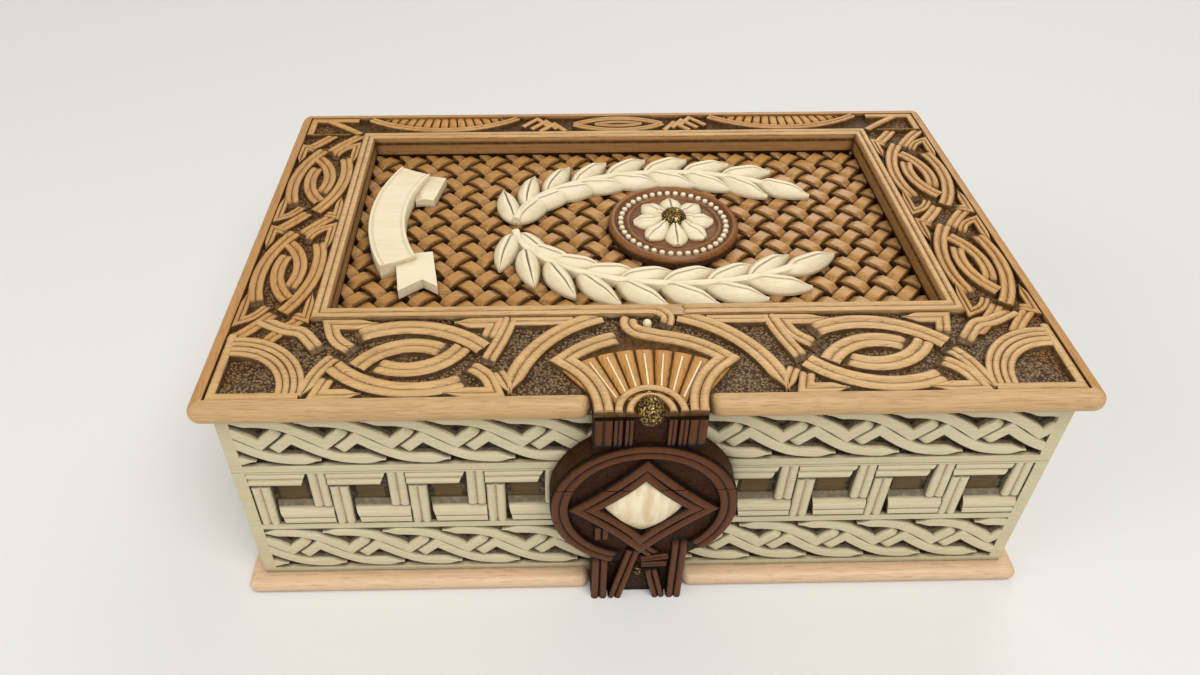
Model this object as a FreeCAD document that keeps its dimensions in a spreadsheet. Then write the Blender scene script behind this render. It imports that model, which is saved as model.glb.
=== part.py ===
"""Carved wooden book box: a tray and a hinged lid with a carved clasp, in millimetres.

X runs along the long side, Y from the clasp side to the hinge side, Z up. The origin is the middle
of the base board's underside.
"""

import FreeCAD, Part
import math
import os
import re

import Sketcher

# Driving dimensions, one cell each.
SIZES = {
    # Covers: the base board and the carved cover share one plan.
    "cover_width": 300.0,
    "cover_depth": 197.0,
    "cover_overhang": 6.0,
    "base_thick": 6.0,
    "frame_thick": 8.0,
    "nose_flat": 0.3,
    "corner_ease": 0.6,
    # Side walls: plain rails between sunk bands, from the base up to the cover.
    "wall_thick": 10.0,
    "corner_stile": 4.5,
    "low_rail": 3.0,
    "braid_band": 24.4,
    "mid_rail": 2.8,
    "key_band": 28.6,
    "seam_rail": 0.8,
    "seam_gap": 0.2,
    "rim_rail": 3.2,
    "under_rail": 1.8,
    "band_carve": 3.0,
    "tile_width": 10.0,
    "tile_height": 9.0,
    "tile_thick": 1.5,
    # Cover: borders round the sunk weave panel.
    "front_border": 50.0,
    "back_border": 26.0,
    "side_border": 38.0,
    "border_lip": 5.0,
    "border_bead": 5.5,
    "border_carve": 2.6,
    "panel_thick": 6.0,
    "panel_lap": 5.0,
    "weave_drop": 0.9,
    "weave_pitch": 12.5,
    "weave_depth": 3.0,
    "strip_width": 5.2,
    "strip_gap": 0.3,
    # Main bands of the front border's knotwork.
    "band_height": 1.8,
    "knot_spread": 160.0,
    "knot_front": 24.6,
    "knot_reach": 25.0,
    "knot_rise": 15.3,
    "knot_width": 6.2,
    "knot_dip": 3.6,
    "arch_radius": 46.8,
    "arch_width": 5.8,
    "quarter_inset": 9.8,
    "quarter_front": 8.4,
    "quarter_radius": 22.6,
    "quarter_width": 8.6,
    "brace_width": 4.2,
    # Fan and clasp.
    "fan_half": 33.0,
    "fan_tip": 21.0,
    "fan_rise": 16.0,
    "fan_thick": 3.0,
    "strap_half": 18.5,
    "tail_half": 17.5,
    "clasp_proud": 2.5,
    "tail_proud": 0.6,
    "clasp_gap": 0.3,
    "disc_radius": 33.0,
    "disc_height": 55.0,
    "diamond_side": 20.5,
    "diamond_seat": 2.5,
    "dome_rise": 3.0,
    "dome_drop": 3.6,
    "bead_radius": 5.2,
    "bead_inset": 3.0,
    "bead_sink": 3.4,
    "tail_bead_radius": 2.2,
    "tail_bead_height": 14.0,
    # Applied carving on the weave panel.
    "emblem_x": 20.0,
    "emblem_y": -1.0,
    "medallion_gap": 13.0,
    "medallion_thick": 3.0,
    "medallion_bevel": 1.6,
    "petal_orbit": 11.5,
    "petal_radius": 5.4,
    "petal_thick": 2.4,
    "rosette_bead_radius": 5.6,
    "rosette_bead_sink": 2.6,
    "wreath_end": 26.0,
    "wreath_margin": 20.5,
    "leaf_length": 25.0,
    "leaf_width": 9.6,
    "leaf_thick": 5.0,
    "stem_width": 3.6,
    "ribbon_inset": 21.0,
    "ribbon_y": 4.0,
    "ribbon_margin": 27.5,
    "ribbon_bow": 8.0,
    "ribbon_width": 15.0,
    "ribbon_thick": 6.5,
    "flap_width": 11.0,
    "flap_length": 19.0,
    "flap_thick": 4.0,
    "tail_width": 15.0,
    "tail_length": 23.0,
    "tail_cleft": 6.0,
    # Lining, magnets and hinges.
    "lining_thick": 1.5,
    "lining_gap": 0.5,
    "magnet_radius": 2.5,
    "magnet_thick": 3.0,
    "magnet_inset": 3.6,
    "magnet_end": 34.0,
    "hinge_inset": 3.5,
    "hinge_spread": 170.0,
    "leaf_plate": 1.0,
    "leaf_reach": 6.0,
    "leaf_run": 30.0,
    "knuckle_radius": 1.75,
    "knuckle_mid": 12.0,
    "knuckle_gap": 0.3,
    "pin_radius": 0.8,
    "pin_gap": 0.05,
    "screw_spread": 19.0,
    "screw_set": 3.9,
    "screw_radius": 0.75,
    "screw_head_radius": 1.5,
    "screw_length": 8.0,
    "cut_overrun": 1.0,
}

# Sizes that follow from the driving ones.
DERIVED = {
    "body_width": "cover_width - 2 * cover_overhang",
    "body_depth": "cover_depth - 2 * cover_overhang",
    "tray_height": "low_rail + braid_band + mid_rail + key_band + seam_rail",
    "tray_top": "base_thick + tray_height",
    "rim_base": "tray_top + seam_gap",
    "rim_height": "rim_rail + braid_band + under_rail",
    "cover_base": "rim_base + rim_height",
    "cover_top": "cover_base + frame_thick",
    "border_ground": "cover_top - border_carve",
    "cover_front": "0 - cover_depth / 2",
    "window_width": "(cover_width - 2 * side_border)",
    "window_depth": "(cover_depth - front_border - back_border)",
    "window_front": "cover_front + front_border",
    "window_back": "window_front + window_depth",
    "window_mid": "window_front + window_depth / 2",
    "weave_top": "cover_base - weave_drop",
    "wall_front": "0 - body_depth / 2",
    "clasp_front": "cover_front - clasp_proud",
    "clasp_thick": "wall_front - clasp_front",
    "fan_top": "border_ground + fan_thick",
    "fan_reach": "fan_tip + fan_rise",
    "fan_radius": "(fan_half * fan_half + fan_rise * fan_rise) / (2 * fan_rise)",
    "scoop_side": "fan_half - strap_half",
    "scoop_run": "fan_tip + clasp_proud",
    "scoop_radius": "(scoop_side * scoop_side + scoop_run * scoop_run) / (2 * scoop_side)",
    "diamond_half": "diamond_side * sqrt(2) / 2",
    "dome_radius": "(diamond_half * diamond_half + dome_drop * dome_drop) / (2 * dome_drop)",
    "hinge_y": "body_depth / 2 - hinge_inset",
    "hinge_z": "tray_top + seam_gap / 2",
    "groove_rise": "hinge_inset * tan(groove_angle)",
    "groove_side": "hinge_inset / cos(groove_angle)",
    "wreath_short": "(window_depth / 2 - wreath_margin)",
    "medallion_radius": "(wreath_short - medallion_gap)",
    "ribbon_chord": "(window_depth - 2 * ribbon_margin)",
    "ribbon_radius": "(ribbon_chord * ribbon_chord / 4 + ribbon_bow * ribbon_bow) / (2 * ribbon_bow)",
    "ribbon_x": "ribbon_inset - window_width / 2",
    "ribbon_angle": "2 * asin(ribbon_chord / (2 * ribbon_radius))",
}

# Each back edge is bevelled by this angle, so the lid stops a little past its full opening.
GROOVE_ANGLE = "48 deg"
FRONT_KEY_COUNT = 10
END_KEY_COUNT = 6
PETAL_COUNT = 8
LEAF_PAIR_COUNT = 9
LEAF_LEAN_DEG = 27.0
# Each knot has two long arcs and two short ones, drawn as shares of its reach and rise.
KNOT_LONG_SHARES = ((-0.8, 0.72), (0.04, 1.0), (1.0, 0.26))
KNOT_SHORT_SHARES = ((-0.7, -0.3), (-0.04, 0.38), (0.48, 0.18))
ARCH_START_DEG, ARCH_END_DEG = 162.0, 109.0
# Ends of the straight braces, as shares of the front border: from the middle, and from the corner.
ARCH_BRACE_SHARES = (((0.94, 0.81), (1.035, 0.53)),)
CORNER_BRACE_SHARES = (((0.39, 0.84), (0.57, 0.775)), ((0.65, 0.715), (0.725, 0.62)))
# Half the ellipse each branch covers, from the tie at the left end to the open right end.
BRANCH_START_DEG, BRANCH_END_DEG = 174.0, 38.0
FLAP_TURN_DEG, TAIL_TURN_DEG = -10.0, 12.0
EIGHTH_DEG, QUARTER_DEG, HALF_DEG, FULL_DEG = 45, 90, 180, 360
STEP_DEG = 1.0
TOLERANCE = 0.01

# Turn of each side about Z: at 0 the side faces the clasp, and its local Y runs inwards.
SIDES = {"front": 0, "right": QUARTER_DEG, "back": HALF_DEG, "left": -QUARTER_DEG}

SHEET = "Sizes"
WORDS = re.compile("|".join(rf"\b{name}\b" for name in (*SIZES, *DERIVED, "groove_angle")))
doc = FreeCAD.newDocument("book_box")
sheet = doc.addObject("Spreadsheet::Sheet", SHEET)
nodes = []


def fill_sheet():
    """Put every driving dimension in its own named cell."""
    for row, (name, size) in enumerate(SIZES.items(), start=1):
        sheet.set(f"A{row}", name)
        sheet.set(f"B{row}", str(size))
        sheet.setAlias(f"B{row}", name)
    doc.recompute()


def spell(text):
    """Write derived names out in full, with every driving size read from the sheet."""
    def swap(match):
        name = match.group(0)
        if name == "groove_angle":
            return GROOVE_ANGLE
        if name in DERIVED:
            return f"({spell(DERIVED[name])})"
        return f"{SHEET}.{name}"
    return WORDS.sub(swap, text)


def size(name):
    """Return a driving dimension from the sheet."""
    return float(getattr(sheet, name))


def bind(item, **sizes):
    """Bind properties of an object to sizes in the sheet."""
    for name, text in sizes.items():
        item.setExpression(name, spell(text))
    return item


def place(item, x="0", y="0", z="0"):
    """Bind the place of an object to sizes in the sheet."""
    for axis, text in (("x", x), ("y", y), ("z", z)):
        item.setExpression(f"Placement.Base.{axis}", spell(text))
    return item


def turn(item, axis, angle):
    """Turn an object about its own corner before it is placed."""
    item.Placement = FreeCAD.Placement(FreeCAD.Vector(), FreeCAD.Rotation(axis, angle))
    return item


AXIS_X, AXIS_Y, AXIS_Z = FreeCAD.Vector(1, 0, 0), FreeCAD.Vector(0, 1, 0), FreeCAD.Vector(0, 0, 1)


def box(name, length, width, height):
    """Make a block bound to three sizes."""
    return bind(doc.addObject("Part::Box", name), Length=length, Width=width, Height=height)


def middle_box(name, length, width, height, x="0", y="0", z="0"):
    """Make a block whose X and Y middle is at the given place and whose underside is at z."""
    block = box(name, length, width, height)
    return place(block, f"{x} - ({length}) / 2", f"{y} - ({width}) / 2", z)


def rod(name, radius, height):
    """Make a cylinder bound to two sizes."""
    return bind(doc.addObject("Part::Cylinder", name), Radius=radius, Height=height)


def ball(name, radius, x="0", y="0", z="0"):
    """Make a sphere bound to its radius and place."""
    return place(bind(doc.addObject("Part::Sphere", name), Radius=radius), x, y, z)


def cut(name, base, *tools):
    """Cut tools out of a base, one after the other."""
    for number, tool in enumerate(tools, start=1):
        last = number == len(tools)
        step = doc.addObject("Part::Cut", name if last else f"{name}_cut{number}")
        step.Base, step.Tool = base, tool
        base = step
    return base


def common(name, base, tool):
    """Keep what two solids share."""
    shared = doc.addObject("Part::Common", name)
    shared.Base, shared.Tool = base, tool
    return shared


def fuse(name, *solids):
    """Join solids into one."""
    joined = doc.addObject("Part::MultiFuse", name)
    joined.Shapes = list(solids)
    joined.Refine = True
    return joined


def group(name, *solids):
    """Hold separate solids as one sub-part."""
    held = doc.addObject("Part::Compound", name)
    held.Links = list(solids)
    return held


def node(item, label):
    """Register a finished sub-part under its own name."""
    item.Label = label
    nodes.append(item)
    return item


def side_place(item, side, along, inwards, z, reach):
    """Place an object against one side: along it, inwards from its outer reach, and up."""
    angle = SIDES[side]
    cosine, sine = round(math.cos(math.radians(angle))), round(math.sin(math.radians(angle)))
    turn(item, AXIS_Z, angle)
    depth = f"({inwards} - ({reach}))"
    return place(item, f"{cosine} * ({along}) - {sine} * {depth}",
                 f"{sine} * ({along}) + {cosine} * {depth}", z)


def origin_plane(body, role):
    """Find one of a body's own origin planes."""
    return next(item for item in body.Origin.OriginFeatures if item.Role == role)


def rectangle(body, name, width, depth, y="0"):
    """Draw a rectangle on the body's floor plane, its middle on the Y axis."""
    sketch = body.newObject("Sketcher::SketchObject", name)
    sketch.AttachmentSupport = [(origin_plane(body, "XY_Plane"), "")]
    sketch.MapMode = "FlatFace"
    corners = [FreeCAD.Vector(x, y, 0) for x, y in ((-1, -1), (1, -1), (1, 1), (-1, 1))]
    for index, corner in enumerate(corners):
        sketch.addGeometry(Part.LineSegment(corner, corners[(index + 1) % len(corners)]))
    for index in range(len(corners)):
        sketch.addConstraint(Sketcher.Constraint("Coincident", index, 2, (index + 1) % len(corners), 1))
    for index, kind in ((1, "Vertical"), (2, "Horizontal"), (3, "Vertical")):
        sketch.addConstraint(Sketcher.Constraint(kind, index))
    sketch.addConstraint(Sketcher.Constraint("Symmetric", 0, 1, 0, 2, -2))
    for label, kind, first, second, text in (
        ("width", "DistanceX", (0, 1), (0, 2), width),
        ("depth", "DistanceY", (1, 1), (1, 2), depth),
        ("start", "DistanceY", (-1, 1), (0, 1), f"{y} - ({depth}) / 2"),
    ):
        index = sketch.addConstraint(Sketcher.Constraint(kind, *first, *second, 1))
        sketch.renameConstraint(index, label)
        sketch.setExpression(f"Constraints.{label}", spell(text))
    return sketch


def fillet(body, name, base, chosen, radius):
    """Round the chosen edges of a feature."""
    doc.recompute()
    edges = [f"Edge{number}" for number, edge in enumerate(base.Shape.Edges, start=1) if chosen(edge)]
    rounded = body.newObject("PartDesign::Fillet", name)
    rounded.Base = (base, edges)
    return bind(rounded, Radius=radius)


def cover_board(name, thick, notch_half, z):
    """Make a board with a notch in its front edge and a round nose all the way round."""
    body = doc.addObject("PartDesign::Body", name)
    plan = rectangle(body, f"{name}_plan", "cover_width", "cover_depth")
    pad = body.newObject("PartDesign::Pad", f"{name}_pad")
    pad.Profile = plan
    bind(pad, Length=thick)
    doc.recompute()
    mouth_plan = rectangle(body, f"{name}_notch_plan", f"2 * ({notch_half})", "2 * cover_overhang",
                           "cover_front")
    notch = body.newObject("PartDesign::Pocket", f"{name}_notch")
    notch.Profile = mouth_plan
    notch.Reversed = True
    bind(notch, Length=thick)
    doc.recompute()
    if notch.Shape.Volume >= pad.Shape.Volume:
        raise ValueError(f"{name}: the notch cuts nothing")

    back = size("cover_depth") / 2
    front = -back
    tall = lambda edge: abs(edge.tangentAt(edge.FirstParameter).z) > 1 - TOLERANCE
    outer = lambda edge: tall(edge) and abs(abs(edge.CenterOfMass.x) - size("cover_width") / 2) < TOLERANCE
    mouth = lambda edge: tall(edge) and not outer(edge) and abs(edge.CenterOfMass.y - front) < TOLERANCE
    nose_radius = f"({thick} - nose_flat) / 2"
    corners = fillet(body, f"{name}_corners", notch, outer, f"{nose_radius} + corner_ease")
    mouths = fillet(body, f"{name}_mouths", corners, mouth, f"{nose_radius} + corner_ease")
    inside = front + size("cover_overhang")
    nose = lambda edge: not tall(edge) and abs(edge.CenterOfMass.y - inside) > TOLERANCE
    fillet(body, f"{name}_nose", mouths, nose, nose_radius)
    doc.recompute()
    return place(body, z=z)


def mitred(name, side, outer, inner, deep, height, z, reach):
    """Make a straight member with mitred ends; outer and inner give its span at each face."""
    member = doc.addObject("Part::Wedge", name)
    bind(member, Xmin=outer[0], Xmax=outer[1], X2min=inner[0], X2max=inner[1])
    bind(member, Ymin="0", Ymax=deep, Zmin="0", Zmax=height, Z2min="0", Z2max=height)
    return side_place(member, side, "0", "0", z, reach)


def wall(name, side, height, z):
    """Make one mitred side wall without its carving."""
    half = "body_width / 2" if side in ("front", "back") else "body_depth / 2"
    reach = "body_depth / 2" if side in ("front", "back") else "body_width / 2"
    return mitred(name, side, (f"0 - {half}", half), (f"wall_thick - {half}", f"{half} - wall_thick"),
                  "wall_thick", height, z, reach)


def band_field(name, side, height, z):
    """Make the block that sinks one carved band into a wall."""
    span = "body_width" if side in ("front", "back") else "body_depth"
    reach = "body_depth / 2" if side in ("front", "back") else "body_width / 2"
    field = box(name, f"{span} - 2 * corner_stile", "band_carve + cut_overrun", height)
    return side_place(field, side, f"corner_stile - {span} / 2", "0 - cut_overrun", z, reach)


def key_tiles(side, height, z):
    """Set one dark tile in the middle of every key of a side."""
    long_side = side in ("front", "back")
    span = "(body_width - 2 * corner_stile)" if long_side else "(body_depth - 2 * corner_stile)"
    reach = "body_depth / 2" if long_side else "body_width / 2"
    count = FRONT_KEY_COUNT if long_side else END_KEY_COUNT
    tiles = []
    for number in range(count):
        behind_clasp = side == "front" and abs(number - (count - 1) / 2) < 1
        if behind_clasp:
            continue
        tile = box(f"{side}_tile{number}", "tile_width", "tile_thick", "tile_height")
        middle = f"{span} * {number - (count - 1) / 2} / {count}"
        tiles.append(side_place(tile, side, f"{middle} - tile_width / 2", "band_carve",
                                f"{z} + ({height} - tile_height) / 2", reach))
    return group(f"{side}_tile_group", *tiles)


def hinge_rods(name, radius, start, length):
    """Make a cylinder along the hinge line of each hinge, start and length along X."""
    rods = {}
    for side, sign in (("left", "0 -"), ("right", "0 +")):
        bar = turn(rod(f"{name}_{side}", radius, length), AXIS_Y, QUARTER_DEG)
        rods[side] = place(bar, f"{sign} hinge_spread / 2 + {start}", "hinge_y", "hinge_z")
    return rods


def hinge_leaf(name, side, plate_z, middle):
    """Make one hinge leaf: a plate and its knuckles, bored for the pin.

    The tray's leaf has the two end knuckles and the lid's leaf the middle one.
    """
    x = f"(0 {'-' if side == 'left' else '+'} hinge_spread / 2)"
    plate = middle_box(f"{name}_plate", "leaf_run", "leaf_reach", "leaf_plate", x,
                       "(hinge_y - leaf_reach / 2)", plate_z)
    end = "(leaf_run - knuckle_mid) / 2"
    if middle:
        spans = [("0 - knuckle_mid / 2 + knuckle_gap", "knuckle_mid - 2 * knuckle_gap")]
        gaps = [("0 - leaf_run / 2 - cut_overrun", f"{end} + cut_overrun"),
                ("knuckle_mid / 2", f"{end} + cut_overrun")]
    else:
        spans = [("0 - leaf_run / 2", end), ("knuckle_mid / 2", end)]
        gaps = [("0 - knuckle_mid / 2", "knuckle_mid")]
    clear = "(knuckle_radius + knuckle_gap)"
    tools = []
    for number, (start, length) in enumerate(gaps):
        gap = box(f"{name}_gap{number}", length, f"2 * {clear}", f"2 * {clear}")
        tools.append(place(gap, f"{x} + {start}", f"hinge_y - {clear}", f"hinge_z - {clear}"))
    knuckles = []
    for number, (start, length) in enumerate(spans):
        barrel = turn(rod(f"{name}_knuckle{number}", "knuckle_radius", length), AXIS_Y, QUARTER_DEG)
        knuckles.append(place(barrel, f"{x} + {start}", "hinge_y", "hinge_z"))
    whole = fuse(f"{name}_whole", cut(f"{name}_flat", plate, *tools), *knuckles)
    bore = rod(f"{name}_bore", "pin_radius + pin_gap", "leaf_run + 2 * cut_overrun")
    turn(bore, AXIS_Y, QUARTER_DEG)
    place(bore, f"{x} - leaf_run / 2 - cut_overrun", "hinge_y", "hinge_z")
    return cut(f"{name}_bored", whole, bore)


def hinge_screws(name, head_z, sign):
    """Make the countersunk screws of both leaves on one side of the seam.

    Their heads are flush with the plate at head_z; sign is the way the shank points.
    """
    screws = []
    for hinge in (-1, 1):
        for end in (-1, 1):
            label = f"{name}_{len(screws)}"
            head = bind(doc.addObject("Part::Cone", f"{label}_head"), Radius1="screw_head_radius",
                        Radius2="screw_radius", Height="leaf_plate")
            shank = rod(f"{label}_shank", "screw_radius", "screw_length")
            x = f"{hinge} * hinge_spread / 2 + {end} * screw_spread / 2"
            for piece in (head, shank):
                turn(piece, AXIS_X, HALF_DEG if sign < 0 else 0)
                place(piece, x, "hinge_y - screw_set", head_z)
            screws.append(fuse(label, head, shank))
    return group(f"{name}_group", *screws)


def magnets(name, z):
    """Make two disc magnets in the front wall's web."""
    discs = []
    for hand in (-1, 1):
        disc = rod(f"{name}_{len(discs)}", "magnet_radius", "magnet_thick")
        y = "wall_front + wall_thick - magnet_inset"
        discs.append(place(disc, f"{hand} * (body_width / 2 - magnet_end)", y, z))
    return group(f"{name}_group", *discs)


def hinge_groove():
    """Make the V along the back seam whose two faces stop the lid, with room for the barrels."""
    bevels = []
    for name, angle in (("upper", "groove_angle - 90 deg"), ("lower", "0 deg - groove_angle")):
        block = box(f"groove_{name}", "body_width + 2 * cut_overrun", "2 * groove_side", "2 * groove_side")
        turn(block, AXIS_X, STEP_DEG)
        block.setExpression("Placement.Rotation.Angle", spell(angle))
        bevels.append(place(block, "0 - body_width / 2 - cut_overrun", "hinge_y", "hinge_z"))
    barrels = hinge_rods("groove_barrel", "knuckle_radius + knuckle_gap",
                         "(0 - leaf_run / 2 - knuckle_gap)", "leaf_run + 2 * knuckle_gap")
    return [*bevels, *barrels.values()]


def leaf_shape():
    """Return one pointed leaf lying along X from the origin, its two edges single arcs."""
    length, half, thick = size("leaf_length"), size("leaf_width") / 2, size("leaf_thick")
    root, tip = FreeCAD.Vector(), FreeCAD.Vector(length, 0, 0)
    sides = [Part.Arc(start, FreeCAD.Vector(length / 2, bulge, 0), end).toShape()
             for start, bulge, end in ((root, -half, tip), (tip, half, root))]
    return Part.Face(Part.Wire(sides)).extrude(FreeCAD.Vector(0, 0, thick))


def branch(name, hand):
    """Make one laurel branch: a bent stem with pairs of leaves, on one half of the ellipse."""
    window_half = size("cover_width") / 2 - size("side_border")
    window_depth = size("cover_depth") - size("front_border") - size("back_border")
    long_half = window_half - size("emblem_x") - size("wreath_end")
    short_half = window_depth / 2 - size("wreath_margin")
    half = size("stem_width") / 2
    start, end = math.radians(BRANCH_START_DEG), math.radians(BRANCH_END_DEG)

    def on_ellipse(angle, offset=0.0):
        return FreeCAD.Vector((long_half + offset) * math.cos(angle),
                              hand * (short_half + offset) * math.sin(angle), 0)

    def rib(offset, first, last):
        curve = Part.BSplineCurve()
        shares = (0.0, 0.25, 0.5, 0.75, 1.0)
        curve.interpolate([on_ellipse(first + (last - first) * share, offset) for share in shares])
        return curve.toShape()

    ends = [Part.LineSegment(on_ellipse(end, half), on_ellipse(end, -half)).toShape(),
            Part.LineSegment(on_ellipse(start, -half), on_ellipse(start, half)).toShape()]
    outline = Part.Wire([rib(half, start, end), ends[0], rib(-half, end, start), ends[1]])
    stem = Part.Face(outline).extrude(FreeCAD.Vector(0, 0, size("leaf_thick")))
    leaves = []
    for pair in range(LEAF_PAIR_COUNT):
        angle = start + (end - start) * pair / LEAF_PAIR_COUNT
        ahead = on_ellipse(angle - math.radians(STEP_DEG)) - on_ellipse(angle)
        heading = math.degrees(math.atan2(ahead.y, ahead.x))
        last = pair == LEAF_PAIR_COUNT - 1
        for lean in (0.0,) if last else (-LEAF_LEAN_DEG, LEAF_LEAN_DEG):
            leaf = leaf_shape()
            leaf.Placement = FreeCAD.Placement(on_ellipse(angle), FreeCAD.Rotation(AXIS_Z, heading + lean))
            leaves.append(leaf)
    branch_item = doc.addObject("Part::Feature", name)
    branch_item.Shape = stem.multiFuse(leaves).removeSplitter()
    return place(branch_item, "emblem_x", "window_mid + emblem_y", "weave_top")


def build_tray():
    """Make the base, the four walls with their tiles, and the lining."""
    base = cover_board("base_blank", "base_thick", "tail_half + clasp_gap", "0")
    node(base, "base_board")
    screws = hinge_screws("tray_screw", "tray_top", -1)
    discs = magnets("tray_magnet", "tray_top - magnet_thick")
    groove = hinge_groove()
    leaves = {side: hinge_leaf(f"tray_leaf_{side}", side, "tray_top - leaf_plate", False)
              for side in ("left", "right")}
    for side in SIDES:
        blank = wall(f"{side}_blank", side, "tray_height", "base_thick")
        key_z = "base_thick + low_rail + braid_band + mid_rail"
        key_height = "(key_band - groove_rise)" if side == "back" else "key_band"
        fields = [band_field(f"{side}_braid_field", side, "braid_band", "base_thick + low_rail"),
                  band_field(f"{side}_key_field", side, key_height, key_z)]
        tiles = key_tiles(side, key_height, key_z)
        tools = [*fields, tiles]
        if side == "front":
            tools.append(discs)
        else:
            tools.extend(groove)
        if side == "back":
            tools.extend([screws, *leaf_mortises("tray", "tray_top - leaf_plate")])
        node(cut(f"{side}_carved", blank, *tools), f"{side}_wall")
        node(tiles, f"{side}_tiles")
    lining = middle_box("lining", "body_width - 2 * wall_thick - 2 * lining_gap",
                        "body_depth - 2 * wall_thick - 2 * lining_gap", "lining_thick", z="base_thick")
    node(lining, "floor_lining")
    node(discs, "tray_magnets")
    for side, leaf in leaves.items():
        node(cut(f"{side}_tray_leaf", leaf, screws), f"{side}_hinge_tray_leaf")
    for side, pin in hinge_rods("pin", "pin_radius", "(0 - leaf_run / 2)", "leaf_run").items():
        node(pin, f"{side}_hinge_pin")
    node(screws, "tray_hinge_screws")
    return groove


def leaf_mortises(name, z):
    """Make the two shallow seats that hold the hinge leaves flush with a wall's edge."""
    return [middle_box(f"{name}_mortise{number}", "leaf_run", "leaf_reach", "leaf_plate",
                       f"({hand} * hinge_spread / 2)", "(hinge_y - leaf_reach / 2)", z)
            for number, hand in enumerate((-1, 1))]


def build_rim(groove):
    """Make the upper band of the side walls, which rises with the lid."""
    screws = hinge_screws("lid_screw", "rim_base", 1)
    discs = magnets("lid_magnet", "rim_base")
    for side in SIDES:
        blank = wall(f"{side}_rim_blank", side, "rim_height", "rim_base")
        rail = "(groove_rise + rim_rail / 2)" if side == "back" else "rim_rail"
        tools = [band_field(f"{side}_rim_field", side, f"rim_height - under_rail - {rail}",
                            f"rim_base + {rail}")]
        if side == "front":
            tools.append(discs)
        else:
            tools.extend(groove)
        if side == "back":
            tools.extend([screws, *leaf_mortises("lid", "rim_base")])
        node(cut(f"{side}_rim", blank, *tools), f"rim_{side}")
    node(discs, "lid_magnets")
    for side in ("left", "right"):
        leaf = hinge_leaf(f"lid_leaf_{side}", side, "rim_base", True)
        node(cut(f"{side}_lid_leaf", leaf, screws), f"{side}_hinge_lid_leaf")
    node(screws, "lid_hinge_screws")


def fan_blank():
    """Make the fan's plan as a solid: a round top, scooped sides and a straight front."""
    slab = middle_box("fan_slab", "2 * fan_half", "fan_reach + clasp_proud", "fan_thick",
                      y="(clasp_front + (fan_reach + clasp_proud) / 2)", z="border_ground")
    round_top = place(rod("fan_round", "fan_radius", "fan_thick"),
                      y="cover_front + fan_reach - fan_radius", z="border_ground")
    scoops = [place(rod(f"fan_scoop{number}", "scoop_radius", "fan_thick"),
                    f"{hand} * (strap_half + scoop_radius)", "clasp_front", "border_ground")
              for number, hand in enumerate((-1, 1))]
    return cut("fan_plan", common("fan_top", slab, round_top), *scoops)


def band_along(points, width, dips=(0, 0)):
    """Return a flat band along the arc through three points, its ends shortened by the dips."""
    arc = Part.Arc(*points).toShape()
    centre, radius = arc.Curve.Center, arc.Curve.Radius
    start = arc.FirstParameter + dips[0] / radius
    end = arc.LastParameter - dips[1] / radius
    middle = (start + end) / 2

    def edge(offset, turns):
        return [centre + (arc.valueAt(turn) - centre) * (1 + offset / radius) for turn in turns]

    outer = edge(width / 2, (start, middle, end))
    inner = edge(-width / 2, (end, middle, start))
    sides = [Part.Arc(*outer).toShape(), Part.LineSegment(outer[-1], inner[0]).toShape(),
             Part.Arc(*inner).toShape(), Part.LineSegment(inner[-1], outer[0]).toShape()]
    return Part.Face(Part.Wire(sides)).extrude(FreeCAD.Vector(0, 0, size("band_height")))


def arc_about(x, y, radius, start, end):
    """Return three points of the arc about a point, from one angle to another in degrees."""
    angles = (math.radians(angle) for angle in (start, (start + end) / 2, end))
    return [FreeCAD.Vector(x + radius * math.cos(angle), y + radius * math.sin(angle), 0) for angle in angles]


def knot_bands(x):
    """Return the four arcs of one knot, which is the same when turned half round."""
    reach, rise, dip = size("knot_reach"), size("knot_rise"), size("knot_dip")
    bands = []
    for hand in (1, -1):
        for shares, dips in ((KNOT_LONG_SHARES, (dip, 0)), (KNOT_SHORT_SHARES, (0, dip))):
            points = [FreeCAD.Vector(x + hand * along * reach, size("knot_front") + hand * up * rise, 0)
                      for along, up in shares]
            bands.append(band_along(points, size("knot_width"), dips))
    return bands


def brace(first, last):
    """Return a straight band between two points of the cover's plan."""
    run = last - first
    bar = Part.makeBox(run.Length, size("brace_width"), size("band_height"),
                       FreeCAD.Vector(0, -size("brace_width") / 2, 0))
    bar.Placement = FreeCAD.Placement(first, FreeCAD.Rotation(AXIS_X, run))
    return bar


def border_bands():
    """Make the main bands of the front border: knots, arch, corner quarters and braces."""
    corner, deep = size("cover_width") / 2, size("front_border")
    bands = []
    for hand in (-1, 1):
        bands.extend(knot_bands(hand * size("knot_spread") / 2))
        upright = lambda angle: angle if hand < 0 else HALF_DEG - angle
        arch = arc_about(0, 0, size("arch_radius"), upright(ARCH_START_DEG), upright(ARCH_END_DEG))
        bands.append(band_along(arch, size("arch_width")))
        quarter = arc_about(hand * (corner - size("quarter_inset")), size("quarter_front"),
                            size("quarter_radius"), upright(0), upright(QUARTER_DEG))
        bands.append(band_along(quarter, size("quarter_width")))
        for start, inwards, table in ((0, 1, ARCH_BRACE_SHARES), (corner, -1, CORNER_BRACE_SHARES)):
            for ends in table:
                points = [FreeCAD.Vector(hand * (start + inwards * along * deep), up * deep, 0)
                          for along, up in ends]
                bands.append(brace(*points))
    item = doc.addObject("Part::Feature", "border_bands")
    item.Shape = bands[0].multiFuse(bands[1:])
    return place(item, y="cover_front", z="border_ground")


def rectangle_face(length, width, x=0.0, y=0.0, lean=0.0):
    """Return a flat rectangle about a point, turned by an angle in degrees."""
    face = Part.makePlane(length, width, FreeCAD.Vector(-length / 2, -width / 2, 0))
    face.Placement = FreeCAD.Placement(FreeCAD.Vector(x, y, 0), FreeCAD.Rotation(AXIS_Z, lean))
    return face


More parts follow.
